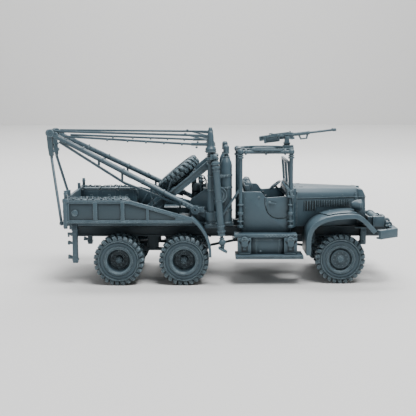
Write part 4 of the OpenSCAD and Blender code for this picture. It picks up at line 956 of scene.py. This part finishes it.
bits = []
for k in range(16):
    degrees = 22.5 * k + 11
    place = at(13.2, -5, 37.75) @ turn(degrees, "Z") @ at(7.75, 0, 0)
    bits.append(moved(rounded((-0.3, -0.26, -0.36), (0.3, 0.26, 0.36), 0.08, "ringClip"), place))
bits += [collarAt(x, y, 35.6, 0.4, 0.9, 0.5, "elbowRim") for x, y in ((5.8, -11.57), (20.0, -11.57), (5.3, 2.0))]
bits += [rod((x0, -11.57, 37.2), (x1, -11.57, 37.2), 0.86, "tubeCollar", 24, 0.08)
         for x0, x1 in ((7.0, 7.5), (18.0, 18.5), (12.6, 13.2))]
show(joinAll(bits, "ring_trim"))
print("gun and ring")

dashRay = treeOf("cab_body").ray_cast(Vector((12, 6.5, 24.9)), Vector((1, 0, 0)))[0]
skinDash = dashRay.x if dashRay else 19.4
bits = []
for y in (-5.2, 5.2):
    for x in [9.2 + k * 1.15 for k in range(5)]:
        bits.append(rounded((x, y - 3.1, 20.1), (x + 1.05, y + 3.1, 20.75), 0.2, "seatPleat"))
    for k in (-2.2, 0, 2.2):
        roll = turned([(0.6, -0.2), (1.06, -0.2), (1.14, -0.06), (1.14, 0.06), (1.06, 0.2), (0.6, 0.2)],
                      "rollStrap", 24)
        bits.append(alongY(roll, 8.3, y + k, 27.2, 1))
    for spot in [y - 2.4 + k * 1.6 for k in range(4)]:
        bits.append(rounded((7.5, spot - 0.5, 26.2), (8.1, spot + 0.5, 28.1), 0.24, "rollFold"))
show(joinAll(bits, "seat_trim"))

hubPlace = at(16.9, 5.8, 25.9) @ turn(-38, "Y")
bits = [moved(beam((0, 0, 0), (2.05, 0, 0), 0.28, 0.2, 0.06, "wheelSpoke"), hubPlace @ turn(degrees, "Z"))
        for degrees in (90, 210, 330)]
horn = turned([(0, 0.3), (0.3, 0.24), (0.42, 0.05), (0.42, -0.2), (0, -0.2)], "hornButton", 20)
bits.append(moved(horn, hubPlace))
for x, y, h in ((13.6, 0.4, 24.18), (14.3, -0.5, 23.16), (12.9, 1.1, 22.48)):
    bits += each(rod, [((x, y, 18.4), (x - 0.6, y, h), 0.17, "gearLever"),
                       ((x - 0.6, y, h - 0.1), (x - 0.66, y, h + 0.5), 0.34, "leverKnob", 16, 0.14)])
for y in (-6.5, -3.4, 3.4, 6.5, 0):
    dial = turned([(0, 0.1), (0.5, 0.1), (0.6, 0.2), (0.72, 0.16), (0.74, -0.2), (0, -0.2)], "dial", 20)
    bits.append(moved(dial, at(skinDash, y, 24.9) @ turn(-90, "Y")))
# painted shade: the cab's inside in the darker plastic
show(joinAll(bits, "cab_inside"), material="under")

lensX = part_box("headlamps")[1].x / mm - 0.12
bits = []
for y in (-12.0, 12.0):
    lens = turned([(0, 0.3), (0.6, 0.26), (1.05, 0.12), (1.18, 0), (1.26, 0.02), (1.34, 0.2), (1.5, 0.2), (1.58, 0.05),
                   (1.58, -0.3), (0, -0.3)], "lampLens", 36)
    bits += [moved(lens, at(lensX, y, 22.2) @ turn(90, "Y")),
             rounded((37.2, y - 0.5, 19.7), (39.2, y + 0.5, 20.6), 0.16, "lampFoot")]
show(joinAll(bits, "lamp_trim"))


fenderTop = {"inner": (28.4, -6.6), "outer": (30.2, -15.2), "front": 38.7, "rise": 0.32}


def crownZ(x):  # height of the right fender's crown, in millimetres
    return treeOf("front_fenders").ray_cast(Vector((x, -12, 40)), Vector((0, 0, -1)))[0].z


bpy.ops.mesh.primitive_grid_add(x_subdivisions=16, y_subdivisions=2, size=1)
pad = named("fenderPad")
(innerX, innerY), (outerX, outerY) = fenderTop["inner"], fenderTop["outer"]
for vert in pad.data.vertices:  # a raised pad that follows the crown of the fender, its rear edge on a slant
    along, over = vert.co.x + 0.5, 0.5 - vert.co.y
    start = innerX + over * (outerX - innerX)
    x = start + along * (fenderTop["front"] - 0.5 * over - start)
    vert.co = Vector((x, innerY + over * (outerY - innerY), crownZ(x) + fenderTop["rise"])) * mm
pick(pad)
thick = pad.modifiers.new("thick", "SOLIDIFY")
thick.thickness = 0.5 * mm
thick.offset = -1
bpy.ops.object.modifier_apply(modifier=thick.name)
bits = [eased(pad, 0.07)]
for x in (31.5, 34.0, 36.5):
    bolt = turned([(0, 0.5), (0.14, 0.48), (0.2, 0.38), (0.2, 0), (0, 0)], "fenderBolt", 12)
    bits.append(moved(bolt, at(x, -8.6, crownZ(x))))
shell, strap = skinY("radiator_shell", 41.2, 22), skinY("hood", 39.4, 23.4)
bits += each(rounded, [
    ((40.55, -8.35, 10.2), (42.2, -7.45, 15.1), 0.16, "hangerPost"),
    ((26.0, -8.35, 10.6), (27.3, -7.45, 15.1), 0.16, "hangerPost"),
    ((38.9, -8.4, 14.95), (43.2, -7.4, 15.35), 0.12, "hangerCap"),
    ((39.9, shell - 0.22, 23.5), (42.38, shell + 0.2, 23.85), 0.08, "shellLip"),
    ((39.95, shell - 0.1, 16.2), (40.25, shell + 0.2, 23.4), 0.07, "shellSeam"),
    ((39.05, strap - 0.2, 22.7), (39.75, strap + 0.2, 24.7), 0.1, "hoodStrap"),
    ((39.0, strap - 0.34, 23.4), (39.8, strap + 0.1, 23.9), 0.1, "strapBuckle"),
])
bits += each(stud, [(41.4, -8.35, 11.1, 0.42, 0.2), (41.4, -8.35, 14.0, 0.22, 0.14), (26.6, -8.35, 11.3, 0.4, 0.2)])
bothSides(bits, "nose_side_trim")

drum = {"x": 45.7, "z": 16.95, "core": 1.0, "lay": 0.24, "half": 4.5, "step": 0.42}
coils, y = [], -drum["half"]
while y < drum["half"]:
    coils += [(drum["core"], y), (drum["core"] + drum["lay"], y + drum["step"] / 2)]
    y += drum["step"]
cable = turned(coils + [(0.4, drum["half"]), (0.4, -drum["half"])], "frontCable", 22)
bits = [alongY(cable, drum["x"], 0, drum["z"])]
for y in (-4.9, 4.9):
    rim = turned([(0.5, -0.16), (1.24, -0.16), (1.38, -0.06), (1.38, 0.06), (1.24, 0.16), (0.5, 0.16)], "drumCheek", 28)
    bits.append(alongY(rim, drum["x"], y, drum["z"]))
bits += each(rod, [
    ((48.5, -1.5, 15.6), (48.5, -1.5, 17.5), 0.34, "fairleadRoller", 18, 0.1),
    ((48.5, 1.5, 15.6), (48.5, 1.5, 17.5), 0.34, "fairleadRoller", 18, 0.1),
    ((48.5, -1.5, 15.95), (48.5, 1.5, 15.95), 0.26, "fairleadRoller", 18, 0.08),
    ((46.6, -0.3, 17.3), (48.5, 0.2, 16.8), 0.16, "rope", 12, 0.04),
    ((48.4, 0.2, 16.8), (48.6, -3.2, 17.2), 0.16, "rope", 12, 0.04),
    ((48.5, -3.0, 17.15), (48.85, -4.0, 17.0), 0.3, "hookShank", 16, 0.1),
])
bits += each(rounded, [((48.1, -1.95, 17.25), (48.9, 1.95, 17.6), 0.12, "fairleadTop"),
                       ((47.9, -2.0, 15.3), (49.1, 2.0, 15.75), 0.12, "fairleadFoot")])
bits += [alongY(turned(loop(r, 0.25, 10), "hookEye", 28), 48.85, y, 16.3) for y, r in ((-4.0, 0.86), (-4.45, 0.6))]
for y in (-8.4, 8.4):
    bits += [alongY(turned(loop(0.62, 0.24, 10), "bumperEye", 24), 48.7, y, 16.1),
             rounded((47.6, y - 0.5, 15.5), (49.3, y + 0.5, 15.95), 0.12, "bumperPad")]
for x, y in ((46.8, -15.0), (48.6, -11.5), (48.6, 11.5), (46.8, 15.0)):
    bolt = turned([(0, 0.18), (0.2, 0.16), (0.28, 0.04), (0.28, -0.1), (0, -0.1)], "bumperBolt", 6)
    bits.append(moved(bolt, at(x, y, 15.7)))
show(joinAll(bits, "front_winch_trim"))

bits = [beam((4.5, y, 8.2), (23.0, y, 8.2), 0.16, 0.8, 0.02, "treadShade") for y in (-17.0, 17.0)]
show(joinAll(bits, "board_shade"), material="shadow")
print("nose details")


# lights as place, aim, size and power
studio = {
    "floorGrey": (0.66, 0.66, 0.655, 1), "paperRough": 0.9, "worldGrey": 0.24,
    "camera": (-0.00318, -0.23527, 0.05384), "pitch": -8.256, "yaw": 0.05, "roll": -0.1, "lens": 69.2,
    "key": ((0.12, -0.18, 0.52), (0, 0, 0.02), 0.25, 4.1),
    "fill": ((-0.35, -0.25, 0.18), (0, 0, 0.02), 0.30, 0.15),
    "back": ((0, 0.35, 0.9), (0, 1.1, 0.25), 0.8, 17),
    "rim": ((0.05, 0.35, 0.30), (0, 0, 0.03), 0.25, 0.9),
}


def areaLight(name, spot, target, size, power):
    data = bpy.data.lights.new(name, "AREA")
    data.shape = "DISK"
    data.size = size
    data.energy = power
    obj = bpy.data.objects.new(name, data)
    bpy.context.collection.objects.link(obj)
    aim = (Vector(target) - Vector(spot)).to_track_quat("-Z", "Y").to_matrix().to_4x4()
    obj.matrix_world = Matrix.Translation(Vector(spot)) @ aim


paper = bpy.data.materials.new("paper")
paper.use_nodes = True
paperShader = paper.node_tree.nodes["Principled BSDF"]
paperShader.inputs["Base Color"].default_value = studio["floorGrey"]
paperShader.inputs["Roughness"].default_value = studio["paperRough"]
for name, size, spot, tilt in (("studioFloor", 6, (0, 0, 0), 0), ("studioBackdrop", 5, (0, 1.1, 1.0), 90)):
    bpy.ops.mesh.primitive_plane_add(size=size, location=spot, rotation=(math.radians(tilt), 0, 0))
    sheet = named(name)
    sheet.data.materials.append(paper)

world = bpy.data.worlds.new("studioWorld")
world.use_nodes = True
world.node_tree.nodes["Background"].inputs[0].default_value = (studio["worldGrey"],) * 3 + (1,)
bpy.context.scene.world = world
for name in ("key", "fill", "back", "rim"):
    areaLight(name, *studio[name])

cameraData = bpy.data.cameras.new("camera")
cameraData.lens = studio["lens"]
cameraData.sensor_width = 36
cameraData.clip_start = 0.001
camera = bpy.data.objects.new("camera", cameraData)
bpy.context.collection.objects.link(camera)
camera.matrix_world = (Matrix.Translation(Vector(studio["camera"])) @ turn(studio["yaw"], "Z")
                       @ turn(90 + studio["pitch"], "X") @ turn(studio["roll"], "Z"))
bpy.context.scene.camera = camera
